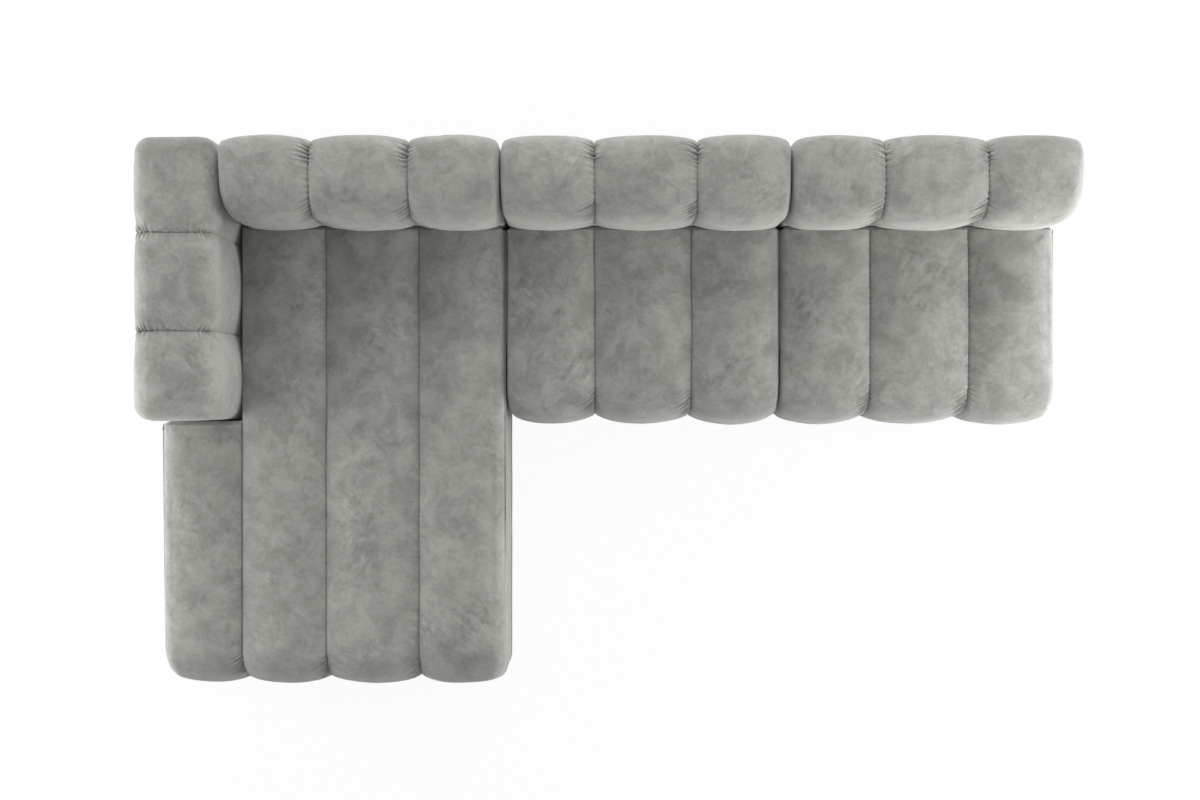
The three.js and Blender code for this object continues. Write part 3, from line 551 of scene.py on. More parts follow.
class Gathers:
    """Short tucks that run out from a seam on both sides, leaning more the further out they lie."""

    def __init__(self, chance, stretch, form, fullness):
        low, high, outwards, pitch, lean, length = stretch
        depth, width = form
        self.tucks = []
        for side, full in zip((-1, 1), fullness):
            along = low + pitch * chance.uniform(*FIRST_PITCHES)
            while along < high:
                share = (along - low) / (high - low)
                outer = share if outwards > 0 else 1 - share
                ease = math.sin(math.pi * share) ** DEPTH_EASE
                self.tucks.append(
                    (
                        along,
                        side,
                        depth * ease * full**0.5 * chance.uniform(*DEPTHS),
                        width * chance.uniform(*WIDTHS),
                        length * full * chance.uniform(*LENGTHS),
                        outwards * lean * (LEAST_LEAN + outer) * chance.uniform(*LEANS),
                    )
                )
                along += pitch * chance.uniform(*PITCHES)

    def depth_at(self, along, across):
        """How deep the tucks lie along a seam and across it, with a ridge on each side of each."""
        total = np.zeros(np.broadcast(along, across).shape)
        for place, side, depth, width, length, lean in self.tucks:
            away = side * across
            offset = (along - place - lean * away) / width
            ridges = np.exp(-((np.abs(offset) - RIDGE_PLACE) ** 2))
            fade = np.exp(-((np.maximum(away, 0) / length) ** 2)) * (away > -width)
            total += depth * (np.exp(-(offset**2)) - RIDGE_SHARE * ridges) * fade
        return total


# Meshes and objects


def placed(name, data):
    """A new object in the scene."""
    made = bpy.data.objects.new(name, data)
    scene.collection.objects.link(made)
    return made


def mesh_of(name, points, faces):
    mesh = bpy.data.meshes.new(name)
    mesh.from_pydata(points, [], faces)
    return mesh


def face_outwards(mesh):
    solid = bmesh.new()
    solid.from_mesh(mesh)
    bmesh.ops.recalc_face_normals(solid, faces=solid.faces)
    solid.to_mesh(mesh)
    solid.free()


def ring_faces(index):
    """Faces between closed rings of points, one ring in each row, with a cap at both ends."""
    turned = np.roll(index, -1, axis=1)
    sides = np.stack([index[:-1], index[1:], turned[1:], turned[:-1]], axis=-1)
    return sides.reshape(-1, 4).tolist() + [index[0].tolist(), index[-1][::-1].tolist()]


def thicken(made, name, thickness):
    """Gives a surface its thickness, on the inside."""
    layer = made.modifiers.new(name, "SOLIDIFY")
    layer.thickness = thickness
    layer.offset = -1


# Pads


def eased(start, end, value):
    share = np.clip((value - start) / (end - start), 0, 1)
    return share * share * (3 - 2 * share)


class Profile:
    """A pad's outline at a seam, from its low side's hem over the top to its high side's hem."""

    def __init__(
        self,
        low,
        high,
        top,
        radii,
        side_shares,
        gathers,
        tucked=(None, None),
        side_powers=None,
        feet=(None, None),
        rise=BASE_RISE,
    ):
        self.rise = rise
        self.gathers = gathers
        self.tucked = tucked
        step = GATHER_STEP / 4
        parts = [
            self.wall(low, HEM, top - radii[0], -1, step, feet[0]),
            self.arc(low + radii[0], top - radii[0], radii[0], -1, step),
            self.flat(low + radii[0], high - radii[1], top, step),
            self.arc(high - radii[1], top - radii[1], radii[1], 1, step)[::-1],
            self.wall(high, HEM, top - radii[1], 1, step, feet[1])[::-1],
        ]
        fine = np.concatenate(parts)
        along = run_of(fine[:, :2])
        ends = np.cumsum([len(part) for part in parts]) - 1
        self.joints = np.concatenate([[0], along[ends]])
        self.along = self.sample(along[-1])
        self.points = np.stack([np.interp(self.along, along, fine[:, i]) for i in (0, 1)], axis=1)
        out = np.stack([np.interp(self.along, along, fine[:, i]) for i in (2, 3)], axis=1)
        self.out = out / np.linalg.norm(out, axis=1, keepdims=True)
        self.shares = self.swell_shares(side_shares)
        self.powers = self.lobe_powers(side_powers or (LOBE_POWER, LOBE_POWER))

    def wall(self, place, bottom, top, side, step, foot):
        """An upright side, or one that moves over to its foot on its way down."""
        heights = np.linspace(bottom, top, int((top - bottom) / step), endpoint=False)
        blank = np.zeros_like(heights)
        foot = place if foot is None else foot
        places = foot + (place - foot) * eased(*self.rise, heights)
        return np.stack([places, heights, blank + side, blank], axis=1)

    @staticmethod
    def arc(centre, height, radius, side, step):
        turns = np.linspace(0, math.pi / 2, max(6, int(radius * math.pi / 2 / step)))
        out = np.stack([side * np.cos(turns), np.sin(turns)], axis=1)
        return np.concatenate([np.array([centre, height]) + radius * out, out], axis=1)

    @staticmethod
    def flat(start, end, top, step):
        places = np.linspace(start, end, int((end - start) / step))[1:-1]
        blank = np.zeros_like(places)
        return np.stack([places, blank + top, blank, blank + 1], axis=1)

    def sample(self, length):
        """Places along the outline: close together round the arcs, where the gathers are."""
        low_mid = (self.joints[1] + self.joints[2]) / 2
        high_mid = (self.joints[3] + self.joints[4]) / 2
        places = np.arange(0, length, GATHER_STEP / 4)
        away = np.abs(places - (low_mid + high_mid) / 2) - (self.joints[4] - self.joints[1]) / 2
        spacing = FINE_STEP + (COARSE_STEP - FINE_STEP) * eased(*ARC_FADE, away)
        for first, last, *_ in self.gathered():
            away = np.abs(places - (first + last) / 2) - (last - first) / 2
            beside = GATHER_STEP + (FINE_STEP - GATHER_STEP) * eased(*GATHER_FADE, away)
            spacing = np.minimum(spacing, beside)
        need = np.concatenate([[0], np.cumsum(GATHER_STEP / 4 / spacing)])[: len(places)]
        stops = [0, low_mid, high_mid, length]
        wanted = np.interp(stops, places, need)
        self.side_count = int(max(wanted[1], wanted[3] - wanted[2])) + 2
        top_count = int(wanted[2] - wanted[1]) + 2
        picked = []
        for i, count in enumerate((self.side_count, top_count, self.side_count)):
            spots = np.linspace(wanted[i], wanted[i + 1], count)
            picked.append(np.interp(spots, need, places))
        return np.concatenate([picked[0], picked[1][1:-1], picked[2]])

    def gathered(self):
        """Where the gathers lie along a seam, their way outwards, pitch, lean and length."""
        joints = self.joints
        arcs = ((joints[1], joints[2]), (joints[3], joints[4]))
        stretches = []
        for gather, (first, last), way in zip(self.gathers, arcs, (1, -1)):
            if gather:
                near, far, *run = gather
                middle = (first + last) / 2
                stretches.append((*sorted((middle + way * near, middle + way * far)), -way, *run))
        return stretches

    def swell_shares(self, side_shares):
        """The share of the bulge that each place takes."""
        shares = np.ones(len(self.along))
        heights = self.points[:, 1]
        arcs = ((self.joints[1], self.joints[2]), (self.joints[4], self.joints[3]))
        for side, (share, (first, last)) in enumerate(zip(side_shares, arcs)):
            onto_top = np.clip((self.along - first) / (last - first), 0, 1)
            here = share + (1 - share) * onto_top
            if self.tucked[side]:
                here = here * eased(*self.tucked[side], heights)
            else:
                rise = eased(HEM, HEM + HEM_RISE, heights)
                here = here * rise + HEM_SHARE * (1 - rise) * min(1, share * 2)
            on_side = self.along < last if side == 0 else self.along > last
            shares = np.where(on_side, here, shares)
        return shares

    def lobe_powers(self, side_powers):
        """How full a channel's lobe is at each place: 2 is an ellipse, less is more pointed."""
        first, last, high_first, high_last = self.joints[1:5]
        over = np.clip((self.along - first) / (last - first), 0, 1)
        down = np.clip((self.along - high_first) / (high_last - high_first), 0, 1)
        low, high = side_powers
        return low + (LOBE_POWER - low) * over + (high - LOBE_POWER) * down


def run_of(points):
    steps = np.linalg.norm(np.diff(points, axis=0), axis=1)
    return np.concatenate([[0], np.cumsum(steps)])


def patch(left, top, right):
    """A grid that fills four edges, the bottom one straight."""
    u = (run_of(top) / run_of(top)[-1])[None, :, None]
    v = (run_of(left) / run_of(left)[-1] + run_of(right) / run_of(right)[-1])[:, None, None] / 2
    bottom = left[0] + (right[0] - left[0]) * u
    between_sides = (1 - u) * left[:, None] + u * right[:, None]
    between_ends = (1 - v) * bottom + v * top[None]
    low = (1 - u) * left[0] + u * right[0]
    high = (1 - u) * left[-1] + u * right[-1]
    return between_sides + between_ends - (1 - v) * low - v * high


class Pad:
    """Channels side by side along one axis, wrapped over a profile, with a panel at each end.

    An end is a hem (its panel goes down to the hem), a tuck (its panel stops below the tuck), a
    seam (it has no panel), or a seam with a tuck below it.
    """

    def __init__(
        self,
        axis,
        profile,
        edges,
        bulge,
        seed,
        roundings,
        ends=("hem", "hem"),
        hooks=(False, False),
        fuller=EVEN,
        full_end=0.0,
    ):
        self.axis = axis
        self.lengthways = "xy".index(axis)
        self.across = [1 - self.lengthways, 2]
        self.full_end = full_end
        self.profile = profile
        self.edges = edges
        self.bulge = bulge
        self.ends = ends
        self.hooks = hooks
        self.fuller = fuller
        self.radii = [self.end_radii(end, *rounding) for end, rounding in enumerate(roundings)]
        self.chance = random.Random(seed)
        self.ripples = Ripples(seed, WOBBLE_LENGTH)
        self.seam_ripples = Ripples(seed + 1, WOBBLE_LENGTH * 2)
        self.fullness = [self.chance.uniform(*CHANNEL_FULLNESS) for _ in edges[1:]]

    def in_frame(self, along, points):
        """Places in the frame from places along the pad and [across, height] points."""
        if self.axis == "x":
            return np.stack([along, points[..., 0], points[..., 1]], axis=-1)
        return np.stack([points[..., 0], along, points[..., 1]], axis=-1)

    def seamed(self, end):
        return self.ends[end].startswith("seam")

    def free_ends(self):
        """The ends that aren't seams, each with its way inwards."""
        return [(end, side) for end, side in ((0, 1), (-1, -1)) if not self.seamed(end)]

    def end_radii(self, end, low_side, high_side):
        """How round an end is at each place along the profile, less near the base and in a tuck."""
        profile = self.profile
        over = eased(profile.joints[1], profile.joints[4], profile.along)
        radii = []
        for radius, tuck in zip((low_side, high_side), profile.tucked):
            behind = tuck and tuck[0] < profile.points[:, 1].max()
            rise = tuck if behind else SEAT_END_RISE if tuck else BASE_RISE
            raised = eased(*rise, profile.points[:, 1])
            lowest = TUCKED_ROUNDING if tuck or "tuck" in self.ends[end] else BASE_ROUNDING
            radii.append(lowest + (radius - lowest) * raised)
        return radii[0] + (radii[1] - radii[0]) * over

    def stations(self):
        """Places along the pad, close together beside the seams and at the ends."""
        places = set()
        for low, high in zip(self.edges, self.edges[1:]):
            for stop in SEAM_STOPS:
                if stop * MILLIMETRE < (high - low) * NEAR_SEAM:
                    places.add(round(low + stop * MILLIMETRE, DIGITS))
                    places.add(round(high - stop * MILLIMETRE, DIGITS))
            places.add(round((low + high) / 2, DIGITS))
        for end, side in self.free_ends():
            widest = float(self.radii[end].max())
            for stop in END_STOPS:
                places.add(round(self.edges[end] + side * stop * widest, DIGITS))
        return np.array(sorted(places))

    def swell(self, places):
        """How far the surface stands out from the seams, at each station and profile place."""
        profile = self.profile
        power = profile.powers[None]
        places = places[:, None]
        front = 1 - eased(profile.joints[2], profile.joints[3], profile.along)[None]
        rise = np.zeros((len(places), power.shape[1]))
        for low, high, full in zip(self.edges, self.edges[1:], self.fullness):
            longer = self.full_end * front if high == self.edges[-1] else 0
            share = np.clip((places - low) / (high - low + longer), 0, 1)
            lobe = (1 - np.abs(2 * share - 1) ** power) ** (1 / power)
            inside = (places >= low) & (places <= high)
            rise = np.where(inside, lobe * self.bulge * full, rise)
        return rise

    def rounding(self, places):
        """How far the surface falls away to the ends, at each station and profile place."""
        fall = np.zeros((len(places), len(self.profile.along)))
        for end, side in self.free_ends():
            radii = self.radii[end][None]
            away = np.clip(side * (places[:, None] - self.edges[end]) / radii, 0, 1)
            fall += radii * (1 - np.sqrt(1 - (1 - away) ** 2))
        return fall

    def seams(self):
        inner = list(self.edges[1:-1])
        if self.seamed(0):
            inner.insert(0, self.edges[0])
        if self.seamed(1):
            inner.append(self.edges[-1])
        return inner

    def surface(self):
        """The grid of points on the channels, one row for each station."""
        places = self.stations()
        profile = self.profile
        flat_points = self.in_frame(
            np.repeat(places[:, None], len(profile.along), 1),
            np.repeat(profile.points[None], len(places), 0),
        )
        swell = self.swell(places)
        soft = np.clip(swell / self.bulge, 0, 1) * np.minimum(profile.shares[None], 1)
        swell = swell * profile.shares[None]
        out = swell + WOBBLE * self.ripples.at(flat_points) * soft
        out -= self.rounding(places)
        out += self.blown_up(places, out, swell) - swell
        shown = np.minimum(profile.shares, 1)[None]
        along = profile.along[None]
        top = (profile.joints[1], profile.joints[4], 1, *PUCKER_RUN)
        for seam in self.seams():
            across = (places - seam)[:, None]
            out = out - SEAM_DEPTH * shown * np.exp(-((across / SEAM_WIDTH) ** 2))
            near = np.abs(places - seam) < GATHER_REACH
            for stretch, form in [(each, TUCK) for each in profile.gathered()] + [(top, PUCKER)]:
                tucks = Gathers(self.chance, stretch, form, self.fuller)
                out[near] -= tucks.depth_at(along, across[near]) * shown
        points = profile.points[None] + profile.out[None] * out[..., None]
        inner = np.minimum(places - places[0], places[-1] - places)
        inner = np.clip(inner / WANDER_FADE, 0, 1)
        moved = places[:, None] + SEAM_WANDER * self.seam_ripples.at(flat_points) * inner[:, None]
        return self.in_frame(moved, points)

    def blown_up(self, places, out, swell):
        """The swelling that Blender's cloth takes on under pressure, held at the seams and hems.

        The cloth starts a little slack, and the channels keep part of their even swelling.
        """
        profile = self.profile
        rows = spaced(places, self.edges)
        columns = spaced(profile.along, ())
        coarse = np.ix_(rows, columns)
        start = (out - swell * SLACK)[coarse]
        along = np.repeat(places[rows][:, None], len(columns), 1)
        points = profile.points[None, columns] + profile.out[None, columns] * start[..., None]
        shell = Shell()
        shell.add(self.in_frame(along, points), self.axis == "y")
        cloth = placed("cloth", shell.mesh("cloth"))
        seam_rows = np.isin(np.round(places[rows], DIGITS), np.round(self.edges, DIGITS))
        held = seam_rows[:, None] | (profile.shares[columns] < HELD_BELOW)[None]
        held[:, [0, -1]] = True
        pins = cloth.vertex_groups.new(name="held")
        pins.add(np.flatnonzero(held.reshape(-1)).tolist(), 1.0, "REPLACE")
        blown = cloth.modifiers.new("blown", "CLOTH")
        blown.settings.vertex_group_mass = pins.name
        blown.settings.use_pressure = True
        blown.settings.uniform_pressure_force = PRESSURE
        blown.settings.effector_weights.gravity = 0
        for number in range(1, SETTLING_FRAMES + 1):
            scene.frame_set(number)
        settled = cloth.evaluated_get(bpy.context.evaluated_depsgraph_get()).data
        moved = np.empty(len(settled.vertices) * 3)
        settled.vertices.foreach_get("co", moved)
        moved = moved.reshape(len(rows), len(columns), 3)[..., self.across]
        bpy.data.objects.remove(cloth)
        scene.frame_set(1)
        rise = ((moved - points) * profile.out[None, columns]).sum(axis=-1)
        rise = np.clip(rise, DEEPEST, FARTHEST) * SIMULATED_SHARE
        to_stations = between(places[rows], places)
        to_profile = between(profile.along[columns], profile.along)
        rise = to_stations @ rise @ to_profile.T
        return swell * (1 - SLACK * SIMULATED_SHARE) + rise

    def open_walls(self, grid):
        """Which cells of the channels' grid are left out: the hidden ones, low on a tucked side."""
        heights = grid[..., 2]
        middles = (heights[:-1, :-1] + heights[1:, 1:]) / 2
        place = grid[:-1, :-1, self.lengthways]
        start = place[0, 0] + (OPEN_EDGE_STRIP if self.ends[0] == "hem" else 0)
        end = self.edges[-1] - (OPEN_EDGE_STRIP if self.ends[1] == "hem" else 0)
        inside = (place > start - TOUCH) & (place < end - TOUCH)
        count = middles.shape[1]
        columns = np.arange(count)[None]
        low_tucked, high_tucked = (bool(tuck) for tuck in self.profile.tucked)
        low = low_tucked & (columns < self.profile.side_count)
        high = high_tucked & (columns >= count - self.profile.side_count)
        return (middles < OPEN_BELOW) & inside & (low | high)

    def panel(self, edge_points, end):
        """The panel that fills the channels' last row, which is three of the panel's edges."""
        n = self.profile.side_count
        across = edge_points[:, self.across]
        grid = patch(across[:n], across[n - 1 : len(across) - n + 1], across[-n:][::-1])
        rows, columns = grid.shape[:2]
        step = np.linalg.norm(grid[0, 1] - grid[0, 0])
        down = np.arange(rows)[::-1, None]
        aside = np.minimum(np.arange(columns), np.arange(columns)[::-1])[None]
        depth = np.minimum(down, aside) * step
        place = edge_points[0, self.lengthways]
        flat = self.in_frame(np.full((rows, columns), place), grid)
        crown = PANEL_CROWN * (1 - np.exp(-depth / PANEL_WELT_WIDTH))
        crown = crown * (1 + PANEL_UNEVEN * self.ripples.at(flat))
        if self.hooks[end]:
            beside, above = ((room, room * fade) for room, fade in zip(HOOK_ROOM, HOOK_FADE))
            for hook in HOOK_PLACES:
                aside_hook = eased(*beside, np.abs(grid[..., 0] - hook))
                crown = crown * np.maximum(aside_hook, eased(*above, grid[..., 1]))
        return self.in_frame(place + (2 * end - 1) * crown, grid)

    def add_to(self, shell):
        grid = self.surface()
        swapped = self.axis == "y"
        shell.add(grid, swapped, ~self.open_walls(grid))
        for end in (0, 1):
            if self.ends[end] == "seam":
                continue
            panel = self.panel(grid[-end], end)
            heights = (panel[:-1, :-1, 2] + panel[1:, 1:, 2]) / 2
            kept = heights > (0 if self.ends[end] == "hem" else OPEN_BELOW)
            shell.add(panel, bool(end) != swapped, kept)


def spaced(places, kept):
    """The numbers of the places that lie at least a cloth step apart, the kept ones among them."""
    stops = np.round(np.append(np.array(kept), [places[0], places[-1]]), DIGITS)
    chosen = [0]
    for number in range(1, len(places)):
        place = places[number]
        next_stop = stops[stops > place + TOUCH].min(initial=np.inf)
        far_enough = place - places[chosen[-1]] >= CLOTH_STEP
        roomy = far_enough and next_stop - place >= CLOTH_STEP / 2
        if np.round(place, DIGITS) in stops or roomy:
            chosen.append(number)
    return np.array(chosen)


def between(coarse, fine):
    """The matrix that takes values at coarse places smoothly to fine ones."""
    count = len(coarse)
    slopes = np.gradient(np.eye(count), coarse, axis=0)
    cell = np.clip(np.searchsorted(coarse, fine, side="right") - 1, 0, count - 2)
    width = (coarse[cell + 1] - coarse[cell])[:, None]
    t = ((fine - coarse[cell]) / width[:, 0])[:, None]
    ends = np.eye(count)
    return (
        (2 * t**3 - 3 * t**2 + 1) * ends[cell]
        + (t**3 - 2 * t**2 + t) * width * slopes[cell]
        + (3 * t**2 - 2 * t**3) * ends[cell + 1]
        + (t**3 - t**2) * width * slopes[cell + 1]
    )


class Shell:
    """Collects grids of points into one sewn mesh."""

    def __init__(self):
        self.points = []
        self.faces = []
        self.count = 0

    def add(self, grid, flip=False, kept=None):
        rows, columns = grid.shape[:2]
        index = self.count + np.arange(rows * columns).reshape(rows, columns)
        corners = [index[:-1, :-1], index[1:, :-1], index[1:, 1:], index[:-1, 1:]]
        if flip:
            corners.reverse()
        faces = np.stack(corners, axis=-1).reshape(-1, 4)
        self.faces.append(faces if kept is None else faces[kept.reshape(-1)])
        self.points.append(grid.reshape(-1, 3))
        self.count += rows * columns

    def mesh(self, name):
        points = np.concatenate(self.points)
        faces = np.concatenate(self.faces)
        used, faces = np.unique(faces, return_inverse=True)
        return mesh_of(name, points[used].tolist(), faces.reshape(-1, 4).tolist())


def turn_hem(sewn):
    """Folds the bottom edge of a cover inwards under the base."""
    hem_edges = []
    for edge in sewn.edges:
        if edge.is_boundary and all(vert.co.z < HEM + HEM_EDGE for vert in edge.verts):
            hem_edges.append(edge)
    facing = {}
    for edge in hem_edges:
        normal = edge.link_faces[0].normal
        flat = normal.copy()
        flat.z = 0
        flat.normalize()
        for vert in edge.verts:
            facing.setdefault(vert, []).append(flat)
    last = {vert: vert for vert in facing}
    for inwards, drop in HEM_TURN:
        ring = {}
        for vert, normals in facing.items():
            turn = max(MITRE_LIMIT, normals[0].dot(normals[-1]))
            mitre = (normals[0] + normals[-1]) / (1 + turn)
            place = vert.co - mitre * inwards
            place.z = HEM - drop + HEM_TURN[-1][1]
            ring[vert] = sewn.verts.new(place)
        for edge in hem_edges:
            loop = edge.link_faces[0]
            a, b = edge.verts
            order = list(loop.verts)
            if order[(order.index(a) + 1) % len(order)] is b:
                a, b = b, a
            sewn.faces.new((last[a], last[b], ring[b], ring[a]))
        last = ring


def piece(name, mesh, finish, body, nodes=()):
    """An object with its finish, on its body, in place of the CAD nodes that it stands for."""
    made = placed(name, mesh)
    mesh.materials.append(FINISHES[finish])
    mesh.shade_smooth()
    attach(made, body)
    if nodes:
        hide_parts(*nodes)
    return made


def cover(name, pads, body, node):
    """A velvet cover sewn from pads, with its hem turned under, as thick as cloth and wadding."""
    shell = Shell()
    for pad in pads:
        pad.add_to(shell)
    mesh = shell.mesh(name)
    sewn = bmesh.new()
    sewn.from_mesh(mesh)
    bmesh.ops.remove_doubles(sewn, verts=sewn.verts, dist=SEWING_DISTANCE)
    sewn.normal_update()
    turn_hem(sewn)
    sewn.to_mesh(mesh)
    sewn.free()
    made = piece(name, mesh, "velvet", body, [node])
    thicken(made, "cloth_and_wadding", CLOTH)


def edges_of(start, end, shares):
    stops = np.cumsum([0, *shares]) / sum(shares)
    return [start + (end - start) * float(stop) for stop in stops]


# Covers

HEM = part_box("middle_seat_cover")[0].z + HEM_LIFT
SEAT_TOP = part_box("middle_seat_cover")[1].z - SEAT_BULGE
BACK_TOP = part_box("middle_back_cover")[1].z - BACK_BULGE
ARM_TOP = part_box("arm_cover")[1].z - ARM_BULGE


def seat_seam_plane(front, set_back=0.0):
    """Where the seams run down a seat's front, behind its box."""
    return front + set_back + SEAT_BULGE * SEAT_FRONT_SHARE - SEAT_FRONT_PROUD


def seat_profile(front, rear, set_back=0.0, rear_foot=None):
    low = seat_seam_plane(front, set_back)
    radii = (SEAT_FRONT_RADIUS, SEAT_REAR_RADIUS)
    shares = (SEAT_FRONT_SHARE, 0)
    powers = (SEAT_FRONT_POWER, LOBE_POWER)
    feet = (front + SEAT_BULGE, rear_foot)
    tucked = (None, BACK_TUCK)
    return Profile(low, rear, SEAT_TOP, radii, shares, SEAT_GATHERS, tucked, powers, feet)


def back_profile(face, rear):
    low = face + BACK_BULGE * BACK_FACE_SHARE
    high = rear - BACK_BULGE * BACK_REAR_SHARE + BACK_REAR_PROUD
    radii = (BACK_FRONT_RADIUS, BACK_REAR_RADIUS)
    shares = (BACK_FACE_SHARE, BACK_REAR_SHARE)
    feet = (low - BACK_FOOT_STEP, None)
    tucked = (BACK_TUCK, None)
    return Profile(low, high, BACK_TOP, radii, shares, BACK_GATHERS, tucked, feet=feet)


for number, (unit, channels, back_channels, seat_ends, back_ends, full_ends) in enumerate(
    (
        ("middle", UNIT_CHANNELS, UNIT_CHANNELS, SEAT_ENDS, BACK_ENDS, (0.0, 0.0)),
        (
            "right",
            RIGHT_SEAT_CHANNELS,
            RIGHT_BACK_CHANNELS,
            (SEAT_ENDS[0], FREE_SEAT_END),
            (BACK_ENDS[0], FREE_BACK_END),
            (FREE_SEAT_FULL, FREE_BACK_FULL),
        ),
    )
):
    low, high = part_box(f"{unit}_seat_cover")
    pad = Pad(
        "x",
        seat_profile(low.y, high.y),
        edges_of(low.x, high.x, channels),
        SEAT_BULGE,
        SEEDS["seat"] + number,
        seat_ends,
        hooks=(True, unit == "middle"),
        fuller=FULLER_LEFT,
        full_end=full_ends[0],
    )
    cover(f"{unit}_seat_velvet", [pad], f"{unit}_unit", f"{unit}_seat_cover")
    low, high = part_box(f"{unit}_back_cover")
    pad = Pad(
        "x",
        back_profile(low.y, high.y),
        edges_of(low.x, high.x, back_channels),
        BACK_BULGE,
        SEEDS["back"] + number,
        back_ends,
        fuller=FULLER_LEFT,
        full_end=full_ends[1],
    )
    cover(f"{unit}_back_velvet", [pad], f"{unit}_unit", f"{unit}_back_cover")

low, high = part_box("chaise_back_cover")
chaise_left = low.x
pad = Pad(
    "x",
    back_profile(low.y, high.y),
    edges_of(low.x, high.x, CHAISE_BACK_CHANNELS),
    BACK_BULGE,
    SEEDS["chaise_back"],
    (CHAISE_BACK_END, BACK_ENDS[1]),
    ends=("tuck", "hem"),
    fuller=FULLER_LEFT,
)
cover("chaise_back_velvet", [pad], "chaise_unit", "chaise_back_cover")

low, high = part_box("chaise_seat_cover")
long_pad = Pad(
    "x",
    seat_profile(low.y, high.y, CHAISE_FRONTS[0]),
    edges_of(chaise_left, high.x, CHAISE_SEAT_CHANNELS),
    SEAT_BULGE,
    SEEDS["chaise_seat"],
    (SEAT_ENDS[0], CHAISE_SEAT_END),
    ends=("seam_tuck", "hem"),
    hooks=(False, True),
    fuller=FULLER_LEFT,
)
short_pad = Pad(
    "x",
    seat_profile(low.y, ARM_STEP, CHAISE_FRONTS[1], ARM_STEP_FOOT),
    [low.x, chaise_left],
    SEAT_BULGE,
    SEEDS["short_seat"],
    (CHAISE_FRONT_END, SEAT_ENDS[1]),
    ends=("hem", "seam"),
    fuller=FULLER_LEFT,
)
cover("chaise_seat_velvet", [long_pad, short_pad], "chaise_unit", "chaise_seat_cover")

low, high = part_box("arm_cover")
arm_profile = Profile(
    low.x + ARM_OUTER_SEAM,
    high.x - ARM_BULGE * ARM_FACE_SHARE,
    ARM_TOP,
    (ARM_RADIUS, ARM_RADIUS),
    (ARM_OUTER_SHARE, ARM_FACE_SHARE),
    ARM_GATHERS,
    (None, ARM_TUCK),
    feet=(None, chaise_left - ARM_FOOT_GAP),
    rise=ARM_RISE,
)
arm_edges = edges_of(low.y, high.y, ARM_CHANNELS)
arm_edges[0] += ARM_SET_BACK
arm_edges[-1] += ARM_SET_BACK
pad = Pad("y", arm_profile, arm_edges, ARM_BULGE, SEEDS["arm"], ARM_ENDS, ends=("tuck", "hem"))
cover("arm_velvet", [pad], "chaise_unit", "arm_cover")


# Foam, webbing and dust covers inside


def foam_block(name, axis, ring, start, end, body, node, rounding, fill):
    """Foam of one outline along an axis, a little uneven, with its edges rounded."""
    count = max(3, int((end - start) / FOAM_STEP))
    unevenness = Ripples(len(name), FOAM_STEP * FOAM_WAVE_STEPS)
    ring = np.array(ring)
    places = np.linspace(start, end, count)
    along = np.repeat(places[:, None], len(ring), 1)
    across = np.repeat(ring[None], count, 0)
    order = (along, across[..., 0]) if axis == "x" else (across[..., 0], along)
    points = np.stack([*order, across[..., 1]], axis=-1)
    points = points + FOAM_UNEVEN * unevenness.at(points)[..., None] * [0, 0, -1]
    index = np.arange(count * len(ring)).reshape(count, len(ring))
    mesh = mesh_of(name, points.reshape(-1, 3).tolist(), ring_faces(index))
    face_outwards(mesh)
    made = piece(name, mesh, "foam", body, [node])
    soft_edge = made.modifiers.new("soft_edge", "BEVEL")
    soft_edge.width = rounding
    soft_edge.segments = FOAM_EDGE_STEPS
    soft_edge.limit_method = "ANGLE"
    soft_edge.angle_limit = math.radians(FOAM_EDGE_ANGLE)
    soft_edge.harden_normals = True


def rounded(low, high, bottom, top, radii):
    """An outline with rounded upper corners, from its low bottom corner round to its high one."""
    ring = [(low, bottom)]
    for centre, side, radius in ((low + radii[0], -1, radii[0]), (high - radii[1], 1, radii[1])):
        arc = []
        for turn in np.linspace(0, math.pi / 2, FOAM_CORNER_STEPS):
            drop = radius * (1 - math.sin(turn))
            arc.append((centre + side * radius * math.cos(turn), top - drop))
        ring += arc if side < 0 else arc[::-1]
    return ring + [(high, bottom)]


def seat_foam(name, body, node, front, rear, left, right):
    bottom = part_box(node)[0].z
    top = SEAT_TOP - FOAM_BELOW_SEAMS
    ring = rounded(front, rear, bottom, top, (SEAT_FRONT_RADIUS - FOAM_INSET, FOAM_EDGE))
    foam_block(name, "x", ring, left, right, body, node, FOAM_EDGE, SEAT_FOAM_FILL)


def foam_cap(name, axis, body, node, frame_node, top, radii, set_back=0.0):
    """A foam cap with a slot underneath for the timber uprights."""
    side = 1 if axis == "x" else 0
    low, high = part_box(node)
    inner_low, inner_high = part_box(frame_node)
    top -= FOAM_BELOW_SEAMS
    ring = rounded(low[side], high[side], low.z, top, [radius - FOAM_INSET for radius in radii])
    slot_low, slot_high = inner_low[side] - SLOT_PLAY, inner_high[side] + SLOT_PLAY
    slot_top = inner_high.z + SLOT_PLAY
    ring += [(slot_high, low.z), (slot_high, slot_top), (slot_low, slot_top), (slot_low, low.z)]
    ends = (low[1 - side] + set_back, high[1 - side])
    foam_block(name, axis, ring, *ends, body, node, FOAM_EDGE / 2, CAP_FOAM_FILL)


